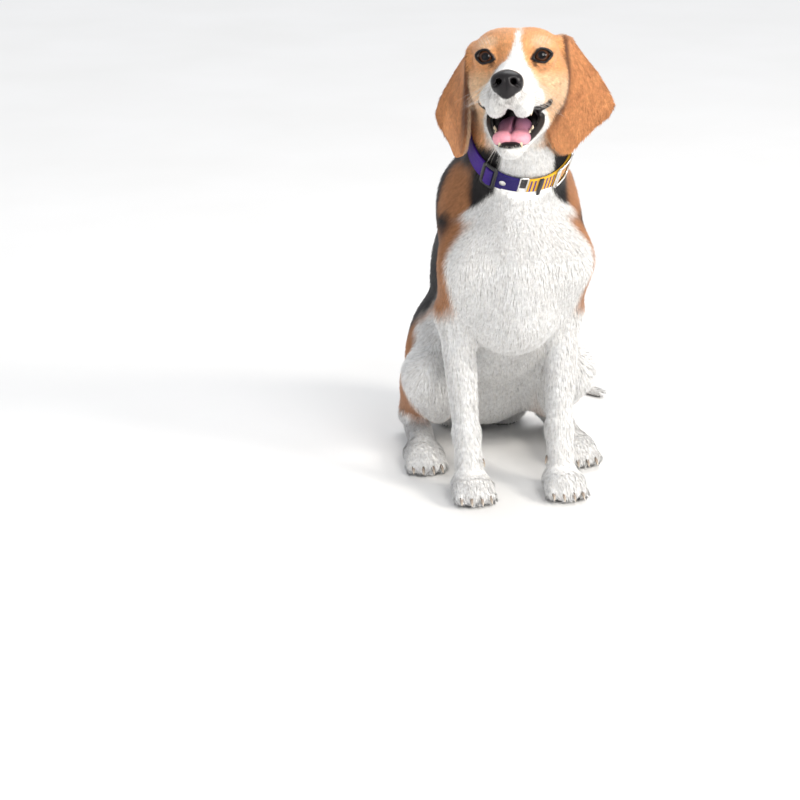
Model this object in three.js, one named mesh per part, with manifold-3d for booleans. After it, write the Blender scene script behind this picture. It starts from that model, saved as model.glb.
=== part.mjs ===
// A beagle sitting with its head up and its mouth open, life size, wearing a webbing collar.
// Lengths in millimetres. The nose points to -y, the dog's left side is +x, the floor is z 0.
import * as THREE from "three";
import Module from "manifold-3d";

const wasm = await Module();
wasm.setup();
const Solid = wasm.Manifold;
const SolidMesh = wasm.Mesh;

// driving sizes
const gap = 0.4; // between neighbouring parts
const headAt = [-6, -12, 462]; // middle of the head above the floor
const headPitch = 17.5; // nose lifted
const headYaw = -16; // face turned to the dog's right
const headRoll = -2.5;
const jawHinge = [0, 20, -22]; // in the head's own frame
const jawOpen = 18.5; // degrees
const eyeAt = [27, -36, 7.5];
const eyeRadius = 11;
const eyeOutward = 14; // degrees each eye looks to its own side
const lidOpening = 9;
const earThick = 3.4;
const earRound = 10;
const collarAt = [3, 18, 381];
const collarTilt = 42; // lower at the throat than at the nape
const collarRoll = -3;
const bandWide = 25;
const bandThick = 2.4;
const tailStart = [0, 250, 40];
const tailRadius = 86; // of the curve the tail lies in
const tailSweep = 150; // degrees
const tailThick = [20, 6.5];
const clawLong = 11;
const clawThick = 2.6;
const toePlaces = [[-15.5, 4], [-5.5, 0], [5.5, 0], [15.5, 4]]; // across and along from the paw's front
const noseAt = [0, -113, -26];
const noseSize = [17.5, 15, 14.5];
// each row: across, along, height, length and width of a tooth on one side
const upperTeeth = [[11, -86, -43, 12, 3.2], [15, -70, -44, 9, 3.4], [17, -60, -44, 9, 3.6]];
const lowerTeeth = [[10, -86, -51, 11, 2.8], [14, -68, -47, 8, 3.2], [16, -58, -46, 8, 3.4]];
// where the collar's pieces start and end, in degrees round the neck; -90 is the throat
const blueBand = [-262, -98.8];
const stripedBand = [-89.2, 97];
const linkSpan = [-98.4, -89.6];
const linkSlot = [-96, -92];
const leftSlide = [-138, -124];
const rightSlide = [-79, -72];
const buckleSpan = [-56, -26];
const buckleSlot = [-52.5, -29.5];
const rivetTurn = -115;

// small vector tools
const rad = (degrees) => degrees * Math.PI / 180;
const add = (a, b) => [a[0] + b[0], a[1] + b[1], a[2] + b[2]];
const sub = (a, b) => [a[0] - b[0], a[1] - b[1], a[2] - b[2]];
const times = (a, s) => [a[0] * s, a[1] * s, a[2] * s];
const dot = (a, b) => a[0] * b[0] + a[1] * b[1] + a[2] * b[2];
const cross = (a, b) => [a[1] * b[2] - a[2] * b[1], a[2] * b[0] - a[0] * b[2], a[0] * b[1] - a[1] * b[0]];
const unit = (a) => times(a, 1 / Math.hypot(...a));
const clamp = (v, lo, hi) => Math.min(hi, Math.max(lo, v));

// rows of a turn about x, then y, then z
function turn(x, y, z) {
  const m = new THREE.Matrix4().makeRotationFromEuler(new THREE.Euler(rad(x), rad(y), rad(z), "ZYX"));
  const e = m.elements;
  return [[e[0], e[4], e[8]], [e[1], e[5], e[9]], [e[2], e[6], e[10]]];
}
const out = (m, v) => [dot(m[0], v), dot(m[1], v), dot(m[2], v)];
const back = (m, v) => add(add(times(m[0], v[0]), times(m[1], v[1])), times(m[2], v[2]));

const headTurn = turn(-headPitch, headRoll, headYaw);
const toHead = (p) => back(headTurn, sub(p, headAt));
const fromHead = (q) => add(out(headTurn, q), headAt);
const jawTurn = turn(jawOpen, 0, 0);
const toJaw = (q) => add(back(jawTurn, sub(q, jawHinge)), jawHinge);
const fromJaw = (q) => add(out(jawTurn, sub(q, jawHinge)), jawHinge);

// flesh is made of balls and tapered limbs that run into each other over a blend length
function ball(at, size, blend, tilt = [0, 0, 0]) {
  const m = turn(...tilt);
  const distance = (q) => {
    const r = back(m, sub(q, at));
    const k0 = Math.hypot(r[0] / size[0], r[1] / size[1], r[2] / size[2]);
    const k1 = Math.hypot(r[0] / size[0] ** 2, r[1] / size[1] ** 2, r[2] / size[2] ** 2);
    return k0 * (k0 - 1) / Math.max(k1, 1e-9);
  };
  return { distance, blend, pair: true, middle: at, reach: Math.max(...size) };
}

function limb(from, to, startRadius, endRadius, blend, pair = true) {
  const along = sub(to, from);
  const long2 = dot(along, along);
  const distance = (q) => {
    const d = sub(q, from);
    const h = clamp(dot(d, along) / long2, 0, 1);
    return Math.hypot(...sub(d, times(along, h))) - (startRadius + (endRadius - startRadius) * h);
  };
  const reach = Math.sqrt(long2) / 2 + Math.max(startRadius, endRadius);
  return { distance, blend, pair, middle: times(add(from, to), 0.5), reach };
}

function softMin(a, b, k) {
  if (k <= 0) {
    return Math.min(a, b);
  }
  const h = Math.max(k - Math.abs(a - b), 0) / k;
  return Math.min(a, b) - h * h * k / 4;
}
const softCut = (a, b, k) => -softMin(-a, b, k);
const farAway = 60;

function together(elements, q, start = farAway, join = softMin) {
  const mirrored = [Math.abs(q[0]), q[1], q[2]];
  let f = start;
  for (const e of elements) {
    const use = e.pair ? mirrored : q;
    if (Math.hypot(...sub(use, e.middle)) < e.reach + e.blend + 14) {
      f = join(f, e.distance(use), e.blend);
    }
  }
  return f;
}

// trunk, neck and legs
const bodyFlesh = [
  ball([0, 58, 250], [70, 78, 112], 24, [-35, 0, 0]), // rib cage
  ball([0, 0, 264], [50, 42, 54], 26), // forechest
  limb([0, 90, 300], [0, 150, 222], 50, 57, 44), // back
  limb([0, 150, 222], [0, 196, 120], 57, 63, 36), // loin
  ball([0, 130, 168], [60, 74, 84], 34, [-32, 0, 0]), // belly
  ball([0, 200, 88], [69, 68, 78], 30, [-30, 0, 0]), // rump
  ball([28, 224, 34], [34, 36, 40], 16), // seat
  limb([1, 60, 306], [3, 18, 376], 63, 50, 34, false), // neck
  limb([3, 18, 376], [-1, 4, 430], 49, 47, 18, false),
  limb([34, 66, 318], [50, 6, 256], 27, 26, 32), // shoulder
  limb([50, 6, 256], [57, 42, 192], 26, 22, 26), // upper arm
  limb([58, 42, 190], [51, 10, 64], 21, 14, 14), // forearm
  ball([58, 55, 190], [12, 13, 17], 8), // elbow
  limb([51, 9, 66], [50, -8, 24], 14.5, 16, 8), // front pastern
  ball([50, -22, 15], [23, 29, 17], 8), // forepaw
  ball([60, 154, 102], [37, 84, 66], 26, [10, 0, 10]), // thigh
  limb([80, 92, 104], [80, 190, 38], 30, 18, 16), // second thigh
  limb([80, 196, 24], [84, 108, 18], 17, 15, 10), // rear pastern
  ball([86, 86, 14], [23, 33, 16], 8), // hind paw
];
const foreToe = (dx, dy) => limb([50 + dx * 0.8, -30 + dy, 16], [50 + dx, -45 + dy, 10], 9.3, 8.8, 4);
const hindToe = (dx, dy) => limb([86 + dx * 0.8, 72 + dy, 15], [87 + dx, 55 + dy, 10], 9.3, 8.8, 4);
for (const [dx, dy] of toePlaces) {
  bodyFlesh.push(foreToe(dx, dy), hindToe(dx, dy));
}

// the tail lies in a curve on the floor
function tailPoint(u) {
  const a = rad(tailSweep) * u;
  const thick = tailThick[0] + (tailThick[1] - tailThick[0]) * u ** 0.8;
  const lift = (tailStart[2] - thick) * Math.max(0, 1 - u * 3.5) ** 2;
  const x = tailStart[0] + tailRadius * (1 - Math.cos(a));
  const y = tailStart[1] + tailRadius * Math.sin(a);
  return { at: [x, y, thick - 1.5 + lift], thick };
}
const tailSteps = 9;
const tailFlesh = [];
for (let i = 0; i < tailSteps; i++) {
  const a = tailPoint(i / tailSteps);
  const b = tailPoint((i + 1) / tailSteps);
  tailFlesh.push(limb(a.at, b.at, a.thick, b.thick, i === 0 ? 12 : 0.8, false));
}

// head, in its own frame
const skullFlesh = [
  ball([0, 22, 2], [52, 60, 38], 14), // brain case
  ball([0, -14, 12], [39, 34, 26], 16), // forehead
  ball([17, 2, 23], [24, 35, 18], 8), // crown
  ball([31, 2, -16], [20, 40, 28], 14), // cheek
  ball([26, -25, 16], [16, 14, 11], 8), // brow
  limb([0, -34, -8], [0, -98, -21], 17, 13, 14), // bridge
  limb([9, -30, -26], [9, -92, -34], 18, 12, 12), // muzzle side
  ball([13, -84, -43], [11, 23, 15], 6), // flews
  ball([24, -44, -34], [10, 26, 12], 10), // lip corner
  ball([0, -99, -40], [14, 13, 9], 8), // upper lip
  ball([0, -109, -24], [14, 12, 10], 4), // nose
  ball([0, -110, -33], [6.5, 8.5, 9], 4),
  ball([0, 24, -34], [40, 44, 34], 18), // throat
  ball([27.2, -35.5, 7.5], [13.6, 12.8, 13], 5), // lids
];
const jawFlesh = [
  limb([26, 14, -38], [11, -76, -51], 15, 6.5, 10), // jaw side
  ball([0, -86, -55], [12.5, 12, 9.5], 8), // chin
  limb([0, 0, -46], [0, -80, -55], 20, 7, 10), // floor of the mouth
];
const mouthHollow = [
  limb([0, -18, -54], [0, -78, -67], 14, 13, 3),
  limb([12, -24, -51], [11, -78, -66], 11, 11, 3),
  limb([28, -34, -46], [17, -74, -62], 8, 9.5, 2),
  limb([34, -29, -42], [24, -52, -51], 5.5, 8, 2), // corner
];
const tongueFlesh = [
  ball([0, -34, -44], [17, 26, 9.5], 8),
  ball([0, -60, -49.5], [17.5, 25, 7], 8),
  ball([8, -71, -46.5], [9.5, 15, 5.5], 8),
  ball([6.5, -79, -45], [9.5, 9, 5.5], 8),
];

const dogField = (p) => {
  let f = together(bodyFlesh, p);
  f = together(tailFlesh, p, f);
  const q = toHead(p);
  if (Math.hypot(...q) < 230) {
    const head = softMin(together(skullFlesh, q), together(jawFlesh, toJaw(q)), 7);
    f = softMin(f, head, 16);
    f = together(mouthHollow, q, f, softCut);
  }
  return f;
};

// ear: a bent leather hanging plumb from its fold
const ears = {
  1: {
    base: [46, 2, 29],
    out: 50,
    swing: -4,
    outline: [[4, 2], [8, 18], [38, 36], [68, 46], [74, 43], [93, 17], [103, 3], [104, -6], [98, -15],
      [90, -20], [64, -5], [30, 6]],
  },
  "-1": {
    base: [47, 2, 20],
    out: 62,
    swing: 4,
    outline: [[2, -10], [4, 14], [20, 21], [40, 24], [60, 30], [77, 35], [82, 32], [89, 22], [95, 8],
      [102, -5], [97, -16], [88, -23], [76, -26], [62, -26], [39, -23]],
  },
};
function earFrame(side) {
  const a = rad(ears[side].out);
  let down = back(headTurn, [0, 0, -1]);
  down = unit([down[0] * side + Math.sin(rad(3)), down[1], down[2]]);
  let across = [Math.cos(a), Math.sin(a), 0];
  across = unit(sub(across, times(down, dot(across, down))));
  let normal = cross(down, across);
  if (normal[0] < 0) {
    normal = times(normal, -1);
  }
  const w = rad(ears[side].swing);
  const turned = add(times(down, Math.cos(w)), times(across, Math.sin(w)));
  across = sub(times(across, Math.cos(w)), times(down, Math.sin(w)));
  return { down: turned, across, normal };
}

function outlineDistance(s, t, points) {
  let d = 1e9;
  let inside = false;
  points.forEach((a, i) => {
    const b = points[(i + 1) % points.length];
    const e = [b[0] - a[0], b[1] - a[1]];
    const h = clamp(((s - a[0]) * e[0] + (t - a[1]) * e[1]) / (e[0] ** 2 + e[1] ** 2), 0, 1);
    d = Math.min(d, Math.hypot(s - a[0] - h * e[0], t - a[1] - h * e[1]));
    if ((a[1] > t) !== (b[1] > t) && s < e[0] * (t - a[1]) / e[1] + a[0]) {
      inside = !inside;
    }
  });
  return inside ? -d : d;
}

function earMiddle(s, t) {
  const low = clamp(s / 60, 0, 1);
  let m = 9 * Math.sin(clamp(s / 60, -0.5, 1.2) * Math.PI / 2);
  m -= 0.55 * t * clamp(1 - s / 70, 0, 1) ** 2;
  m += 0.007 * Math.max(t - 16, 0) ** 2 * low;
  return m + 0.005 * Math.max(-12 - t, 0) ** 2 * low;
}

function earDistance(side) {
  const { down, across, normal } = earFrame(side);
  const edge = 3;
  return (p) => {
    const q = toHead(p);
    const r = sub([q[0] * side, q[1], q[2]], ears[side].base);
    const s = dot(r, down);
    const t = dot(r, across);
    const rim = Math.max(outlineDistance(s, t, ears[side].outline) - earRound + edge, 0);
    return Math.hypot(rim, (dot(r, normal) - earMiddle(s, t)) * 0.85) - earThick;
  };
}

// a closed faceted skin over a field's zero: the lattice of cubes is split in tetrahedra
function skinOf(field, lo, hi, cell, smooth = 3) {
  const n = lo.map((v, i) => Math.ceil((hi[i] - v) / cell[i]) + 1);
  const at = (i, j, k) => [lo[0] + i * cell[0], lo[1] + j * cell[1], lo[2] + k * cell[2]];
  const index = (i, j, k) => (i * n[1] + j) * n[2] + k;
  const value = new Float64Array(n[0] * n[1] * n[2]);
  for (let i = 0; i < n[0]; i++) {
    for (let j = 0; j < n[1]; j++) {
      for (let k = 0; k < n[2]; k++) {
        const edge = !i || !j || !k || i === n[0] - 1 || j === n[1] - 1 || k === n[2] - 1;
        value[index(i, j, k)] = edge ? farAway : field(at(i, j, k)) || 1e-6;
      }
    }
  }
  const points = [];
  const known = new Map();
  const corner = (c) => at(Math.floor(c / (n[1] * n[2])), Math.floor(c / n[2]) % n[1], c % n[2]);
  const between = (a, b) => {
    const key = a < b ? a * value.length + b : b * value.length + a;
    if (!known.has(key)) {
      const t = clamp(value[a] / (value[a] - value[b]), 0.1, 0.9);
      const pa = corner(a);
      known.set(key, points.length);
      points.push(add(pa, times(sub(corner(b), pa), t)));
    }
    return known.get(key);
  };
  const faces = [];
  const face = (a, b, c, inner) => {
    const p = points[a];
    const way = dot(cross(sub(points[b], p), sub(points[c], p)), sub(p, inner));
    faces.push(way > 0 ? [a, b, c] : [a, c, b]);
  };
  const cubeCorners = [0, 1, 2, 3, 4, 5, 6, 7];
  const paths = [[0, 1, 3], [0, 2, 3], [0, 1, 5], [0, 4, 5], [0, 2, 6], [0, 4, 6]];
  for (let i = 0; i < n[0] - 1; i++) {
    for (let j = 0; j < n[1] - 1; j++) {
      for (let k = 0; k < n[2] - 1; k++) {
        const cube = cubeCorners.map((c) => index(i + (c & 1), j + ((c >> 1) & 1), k + (c >> 2)));
        for (const path of paths) {
          const four = [...path, 7].map((c) => cube[c]);
          const ins = four.filter((c) => value[c] < 0);
          const outs = four.filter((c) => value[c] >= 0);
          if (ins.length === 0 || outs.length === 0) {
            continue;
          }
          const inner = times(ins.map(corner).reduce(add), 1 / ins.length);
          if (ins.length === 1) {
            face(between(ins[0], outs[0]), between(ins[0], outs[1]), between(ins[0], outs[2]), inner);
          } else if (outs.length === 1) {
            face(between(ins[0], outs[0]), between(ins[1], outs[0]), between(ins[2], outs[0]), inner);
          } else {
            const a = between(ins[0], outs[0]);
            const c = between(ins[1], outs[1]);
            face(a, between(ins[0], outs[1]), c, inner);
            face(a, c, between(ins[1], outs[0]), inner);
          }
        }
      }
    }
  }
  settle(points, faces, field, Math.min(...cell), smooth);
  return { points, faces };
}

// evens out the facets, then brings each corner onto the field's zero
function settle(points, faces, field, cell, rounds) {
  const around = points.map(() => new Set());
  for (const [a, b, c] of faces) {
    around[a].add(b).add(c);
    around[b].add(a).add(c);
    around[c].add(a).add(b);
  }
  for (let round = 0; round <= rounds; round++) {
    if (round < rounds) {
      const even = around.map((near) => times([...near].map((j) => points[j]).reduce(add), 1 / near.size));
      even.forEach((p, i) => {
        points[i] = add(times(points[i], 0.4), times(p, 0.6));
      });
    }
    for (let i = 0; i < points.length; i++) {
      for (let again = 0; again < 2; again++) {
        const p = points[i];
        const e = 0.3;
        const slope = [0, 1, 2].map((a) => {
          const step = [0, 0, 0];
          step[a] = e;
          return (field(add(p, step)) - field(sub(p, step))) / (2 * e);
        });
        const move = times(slope, field(p) / Math.max(dot(slope, slope), 0.05));
        const most = cell * 0.5;
        points[i] = sub(p, times(move, Math.min(1, most / Math.max(Math.hypot(...move), 1e-9))));
      }
    }
  }
}

// merges short edges where the skin is flattest until about `most` facets are left
function thinned({ points, faces }, most) {
  let left = faces;
  const spread = () => {
    const sums = points.map(() => new Float64Array(10));
    for (const [a, b, c] of left) {
      const area = cross(sub(points[b], points[a]), sub(points[c], points[a]));
      const size = Math.hypot(...area);
      if (size < 1e-9) {
        continue;
      }
      const [x, y, z] = times(area, 1 / size);
      const d = -dot([x, y, z], points[a]);
      const sum = [x * x, x * y, x * z, x * d, y * y, y * z, y * d, z * z, z * d, d * d];
      for (const v of [a, b, c]) {
        sum.forEach((value, i) => {
          sums[v][i] += value * (size + 0.5);
        });
      }
    }
    return sums;
  };
  const costAt = (s, [x, y, z]) => s[0] * x * x + s[4] * y * y + s[7] * z * z + s[9]
    + 2 * (s[1] * x * y + s[2] * x * z + s[3] * x + s[5] * y * z + s[6] * y + s[8] * z);
  const bestPlace = (s, a, b) => {
    const middle = times(add(a, b), 0.5);
    const soft = 1e-3 * (s[0] + s[4] + s[7]);
    const m = [[s[0] + soft, s[1], s[2]], [s[1], s[4] + soft, s[5]], [s[2], s[5], s[7] + soft]];
    const want = sub(times(middle, soft), [s[3], s[6], s[8]]);
    const whole = dot(m[0], cross(m[1], m[2]));
    const place = [cross(m[1], m[2]), cross(m[2], m[0]), cross(m[0], m[1])]
      .map((c, i) => times(c, want[i])).reduce(add);
    const found = times(place, 1 / whole);
    return Math.hypot(...sub(found, middle)) < Math.hypot(...sub(a, b)) ? found : middle;
  };
  for (let round = 0; round < 60 && left.length > most; round++) {
    const sums = spread();
    const around = points.map(() => new Set());
    const owned = points.map(() => []);
    left.forEach((f, i) => {
      f.forEach((v, c) => {
        around[v].add(f[(c + 1) % 3]).add(f[(c + 2) % 3]);
        owned[v].push(i);
      });
    });
    const edges = [];
    around.forEach((near, a) => {
      for (const b of near) {
        if (a < b) {
          const sum = sums[a].map((v, i) => v + sums[b][i]);
          const place = bestPlace(sum, points[a], points[b]);
          const cost = costAt(sum, place) + 1e-4 * Math.hypot(...sub(points[a], points[b])) ** 3;
          edges.push({ a, b, place, cost });
        }
      }
    });
    edges.sort((one, two) => one.cost - two.cost);
    const busy = new Set();
    const goal = Math.max(most, left.length * 0.8);
    let count = left.length;
    const gone = new Set();
    for (const { a, b, place } of edges) {
      const shared = [...around[a]].filter((v) => around[b].has(v));
      const ring = new Set([...around[a], ...around[b], a, b]);
      const turned = [...owned[a], ...owned[b]].some((i) => {
        const f = left[i];
        if (f.includes(a) && f.includes(b)) {
          return false;
        }
        const before = f.map((v) => points[v]);
        const after = f.map((v) => (v === a || v === b ? place : points[v]));
        const n0 = cross(sub(before[1], before[0]), sub(before[2], before[0]));
        const n1 = cross(sub(after[1], after[0]), sub(after[2], after[0]));
        return dot(n0, n1) < 0.35 * Math.hypot(...n0) * Math.hypot(...n1);
      });
      if (shared.length !== 2 || turned || [...ring].some((v) => busy.has(v))) {
        continue;
      }
      ring.forEach((v) => busy.add(v));
      points[a] = place;
      owned[b].forEach((i) => {
        left[i] = left[i].map((v) => (v === b ? a : v));
        if (new Set(left[i]).size < 3) {
          gone.add(i);
        }
      });
      count -= 2;
      if (count <= goal) {
        break;
      }
    }
    const size = left.length;
    left = left.filter((f, i) => !gone.has(i));
    if (left.length === size) {
      break;
    }
  }
  const used = new Map();
  const kept = [];
  const renumbered = left.map((f) => f.map((v) => {
    if (!used.has(v)) {
      used.set(v, kept.length);
      kept.push(points[v]);
    }
    return used.get(v);
  }));
  return { points: kept, faces: renumbered };
}

// the same facets moved outwards
function grownBy({ points, faces }, amount) {
  const ways = points.map(() => [0, 0, 0]);
  for (const f of faces) {
    const [a, b, c] = f.map((v) => points[v]);
    const n = unit(cross(sub(b, a), sub(c, a)));
    f.forEach((v) => {
      ways[v] = add(ways[v], n);
    });
  }
  return { points: points.map((p, i) => add(p, times(unit(ways[i]), amount))), faces };
}

function solidFrom({ points, faces }) {
  return new Solid(new SolidMesh({
    numProp: 3,
    vertProperties: new Float32Array(points.flat()),
    triVerts: new Uint32Array(faces.flat()),
  }));
}

// three.js shapes as solids, placed by a matrix
function solidOf(geometry, matrix = new THREE.Matrix4()) {
  const g = (geometry.index ? geometry.toNonIndexed() : geometry.clone()).applyMatrix4(matrix);
  const a = g.getAttribute("position");
  const points = [];
  const faces = [];
  const seen = new Map();
  for (let i = 0; i < a.count; i += 3) {
    const three = [0, 1, 2].map((c) => {
      const p = [a.getX(i + c), a.getY(i + c), a.getZ(i + c)];
      const key = p.map((v) => Math.round(v * 1e4)).join();
      if (!seen.has(key)) {
        seen.set(key, points.length);
        points.push(p);
      }
      return seen.get(key);
    });
    if (new Set(three).size === 3) {
      faces.push(three);
    }
  }
  return solidFrom({ points, faces });
}

// a matrix whose columns are three directions and a place
function placed(x, y, z, at) {
  const m = new THREE.Matrix4();
  m.makeBasis(new THREE.Vector3(...x), new THREE.Vector3(...y), new THREE.Vector3(...z));
  return m.setPosition(...at);
}

// a convex block bounded by planes: each has a point on it and a direction pointing out of the block
function block(planes, grow = 0) {
  let b = solidOf(new THREE.BoxGeometry(1400, 1400, 1400));
  for (const [at, way] of planes) {
    const n = unit(way);
    b = b.trimByPlane(times(n, -1), -dot(n, at) - grow);
  }
  return b;
}

const largest = (solid) => solid.decompose().reduce((a, b) => (a.volume() > b.volume() ? a : b));
const onFloor = (solid) => solid.trimByPlane([0, 0, 1], 0);
const mirrorX = (planes) => planes.map(([at, way]) => [[-at[0], at[1], at[2]], [-way[0], way[1], way[2]]]);

// where the body is divided
const collarWay = [0, -Math.sin(rad(collarTilt)), Math.cos(rad(collarTilt))];
const headPlane = [add(collarAt, times(collarWay, bandWide / 2 + 8)), collarWay]; // just above the collar
const neckPlane = [[0, 20, 338], [0, -0.34, 0.94]]; // base of the neck
const foreBlock = [
  [[24, 0, 0], [-1, 0, 0]],
  [[58, 42, 186], [0.45, 0, 1]],
  [[0, 80, 190], [0, 190, -48]],
];
const hindBlock = [
  [[40, 0, 0], [-1, 0, 0.13]],
  [[58, 0, 172], [0, 0, 1]],
  [[0, 82, 190], [0, -190, 48]],
  [[0, 262, 0], [0, 1, 0]],
];
const tailBlock = [
  [[0, 265, 40], [0, -1, 0]],
  [[0, 265, 74], [0, 0, 1]],
];
const aside = (planes, side) => (side > 0 ? planes : mirrorX(planes));
const flip = ([at, way]) => [at, times(way, -1)];

const grids = {
  head: { lo: [-70, -152, 352], hi: [66, 70, 520], cell: [5.5, 5.5, 5.5], facets: 1450 },
  body: { lo: [-96, -70, -14], hi: [96, 290, 430], cell: [13, 13, 13], facets: 980 },
  fore: { lo: [16, -84, -10], hi: [88, 84, 214], cell: [6, 6, 6], facets: 660 },
  hind: { lo: [24, 24, -10], hi: [124, 276, 184], cell: [7, 7, 7], facets: 640 },
  tail: { lo: [-34, 240, -10], hi: [190, 366, 88], cell: [8, 8, 8], facets: 280 },
};
function fleshIn(grid, field, smooth = 3) {
  return solidFrom(thinned(skinOf(field, grid.lo, grid.hi, grid.cell, smooth), grid.facets));
}
const parts = {};
const slots = {};
function keep(name, solid, slot, slack = 0.03) {
  parts[name] = largest(solid.simplify(slack));
  slots[name] = slot;
}

// body parts
const bodyAll = onFloor(fleshIn(grids.body, (p) => together(bodyFlesh, p)));
const neckGrid = { lo: [-90, -72, 300], hi: [90, 150, 478], cell: [12, 12, 12], facets: 380 };
const neckAll = fleshIn(neckGrid, dogField);
let trunk = bodyAll.trimByPlane(times(neckPlane[1], -1), -dot(neckPlane[1], neckPlane[0]) + gap / 2);
let neck = neckAll.intersect(block([headPlane, flip(neckPlane)], -gap / 2));
trunk = trunk.subtract(block(tailBlock, gap / 2));
for (const side of [1, -1]) {
  trunk = trunk.subtract(block(aside(foreBlock, side), gap / 2));
  trunk = trunk.subtract(block(aside(hindBlock, side), gap / 2));
}
keep("trunk", largest(trunk), "coat", 0.12);

// claws: one ahead of each toe, and a dewclaw inside each foreleg
function clawSolid(root, way, long, thick, grow = 0) {
  const g = new THREE.ConeGeometry(1, 1, 6, 2, false);
  const a = g.getAttribute("position");
  for (let i = 0; i < a.count; i++) {
    const u = a.getY(i) + 0.5;
    const wide = (1 - u) ** 0.6 / Math.max(1 - u, 1e-6);
    const r = u > 0.999 ? 0 : thick * wide + grow;
    const y = u * long + grow * (u > 0.5 ? 1 : -1);
    a.setXYZ(i, a.getX(i) * r * 0.8, y, a.getZ(i) * r - long * 0.35 * u * u);
  }
  const y = unit(way);
  const x = unit(cross(y, [0, 0, 1]));
  return solidOf(g, placed(x, y, cross(x, y), root));
}
const clawsOf = {
  fore: toePlaces.map(([dx, dy]) => ({ root: [50 + dx, -50.5 + dy, 11], way: [dx * 0.006, -1, -0.1] })),
  hind: toePlaces.map(([dx, dy]) => ({ root: [87 + dx, 49.5 + dy, 11], way: [dx * 0.006, -1, -0.1] })),
};
clawsOf.fore.push({ root: [36.5, -4, 38], way: [-0.6, -0.35, -0.8] });

function addLeg(kind, side, planes) {
  const grid = grids[kind];
  const name = side > 0 ? "left" : "right";
  const field = (p) => Math.max(together(bodyFlesh, p), -p[2] - 5);
  let leg = onFloor(fleshIn(grid, field)).intersect(block(planes, -gap / 2));
  const claws = clawsOf[kind].map(({ root, way }, i) => {
    const long = i === 4 ? clawLong * 0.8 : clawLong;
    leg = leg.subtract(clawSolid(root, way, long, clawThick, gap));
    return clawSolid(root, way, long, clawThick);
  });
  leg = largest(leg);
  const flat = (solid) => (side > 0 ? solid : solid.mirror([1, 0, 0]));
  keep(kind + "leg_" + name, flat(leg), "coat", 0.12);
  claws.forEach((claw, i) => keep("claw_" + kind + "_" + name + "_" + (i + 1), flat(claw), "claw"));
}
for (const side of [1, -1]) {
  addLeg("fore", side, foreBlock);
  addLeg("hind", side, hindBlock);
}
const tailAll = onFloor(fleshIn(grids.tail, (p) => together(tailFlesh, p, together(bodyFlesh, p))));
keep("tail", largest(tailAll.intersect(block(tailBlock, -gap / 2))), "coat", 0.12);

// head, jaw and what they hold
const headAll = fleshIn(grids.head, dogField);
const headWay = (v) => out(headTurn, v);
function noseBlock(grow) {
  const [x, y, z] = noseSize.map((v) => v + grow);
  const place = placed(headWay([x, 0, 0]), headWay([0, y, 0]), headWay([0, 0, z]), fromHead(noseAt));
  return solidOf(new THREE.IcosahedronGeometry(1, 1), place);
}
let head = headAll.trimByPlane(headPlane[1], dot(headPlane[1], headPlane[0]) + gap / 2);
keep("nose", largest(head.intersect(noseBlock(0))), "leather");
head = head.subtract(noseBlock(gap));

const jawWay = (v) => headWay(out(jawTurn, v));
const jawPoint = (v) => fromHead(fromJaw(v));
const jawPlanes = [
  [jawPoint([0, -30, -41]), jawWay([0, 0.08, 1])],
  [jawPoint([0, -22, -50]), jawWay([0, 1, -0.1])],
];
let jaw = headAll.intersect(block(jawPlanes, -gap / 2));
head = head.subtract(block(jawPlanes, gap / 2));

for (const side of [1, -1]) {
  const name = side > 0 ? "left" : "right";
  const middle = fromHead([eyeAt[0] * side, eyeAt[1], eyeAt[2]]);
  const ballPlace = new THREE.Matrix4().setPosition(...middle);
  const ballAt = (r) => solidOf(new THREE.IcosahedronGeometry(r, 2), ballPlace);
  keep("eye_" + name, ballAt(eyeRadius), "eye");
  head = head.subtract(ballAt(eyeRadius + gap));
  const way = headWay([Math.sin(rad(eyeOutward)) * side, -Math.cos(rad(eyeOutward)), 0]);
  const x = unit(cross(way, [0, 0, 1]));
  const opening = new THREE.CylinderGeometry(lidOpening + 2, lidOpening - 2, 16, 16);
  head = head.subtract(solidOf(opening, placed(x, way, cross(x, way), add(middle, times(way, 12)))));
}

// teeth stand in the jaws
function tooth(at, way, long, wide) {
  const y = unit(way);
  const x = unit(cross(y, headWay([0, 1, 0.2])));
  const place = placed(x, y, cross(x, y), add(at, times(y, long * 0.35)));
  return solidOf(new THREE.ConeGeometry(wide, long, 6, 1), place);
}
for (const side of [1, -1]) {
  for (const [x, y, z, long, wide] of upperTeeth) {
    head = head.add(tooth(fromHead([x * side, y, z]), headWay([side * 0.1, -0.05, -1]), long, wide));
  }
  for (const [x, y, z, long, wide] of lowerTeeth) {
    jaw = jaw.add(tooth(jawPoint([x * side, y, z]), jawWay([side * 0.15, -0.1, 1]), long, wide));
  }
}

// ears, let into the head
for (const side of [1, -1]) {
  const name = side > 0 ? "left" : "right";
  const { down, across, normal } = earFrame(side);
  const world = (v) => headWay([v[0] * side, v[1], v[2]]);
  const frame = [world(down), world(across), world(normal)];
  const base = fromHead([ears[side].base[0] * side, ears[side].base[1], ears[side].base[2]]);
  const local = (v) => frame.reduce((sum, way, i) => add(sum, times(way, v[i])), base);
  const flipped = dot(cross(frame[0], frame[1]), frame[2]) < 0;
  const inside = earDistance(side);
  const flat = skinOf((v) => inside(local(v)), [-24, -48, -40], [128, 66, 40], [6.5, 6.5, 2.8]);
  const facesOut = flipped ? flat.faces.map(([a, b, c]) => [a, c, b]) : flat.faces;
  const earSkin = thinned({ points: flat.points.map(local), faces: facesOut }, 340);
  const ear = solidFrom(earSkin);
  const grown = solidFrom(grownBy(earSkin, gap * 1.9));
  head = head.subtract(grown);
  neck = neck.subtract(grown);
  keep("ear_" + name, largest(ear), "coat", 0.05);
}
keep("head", largest(head), "coat", 0.12);
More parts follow.
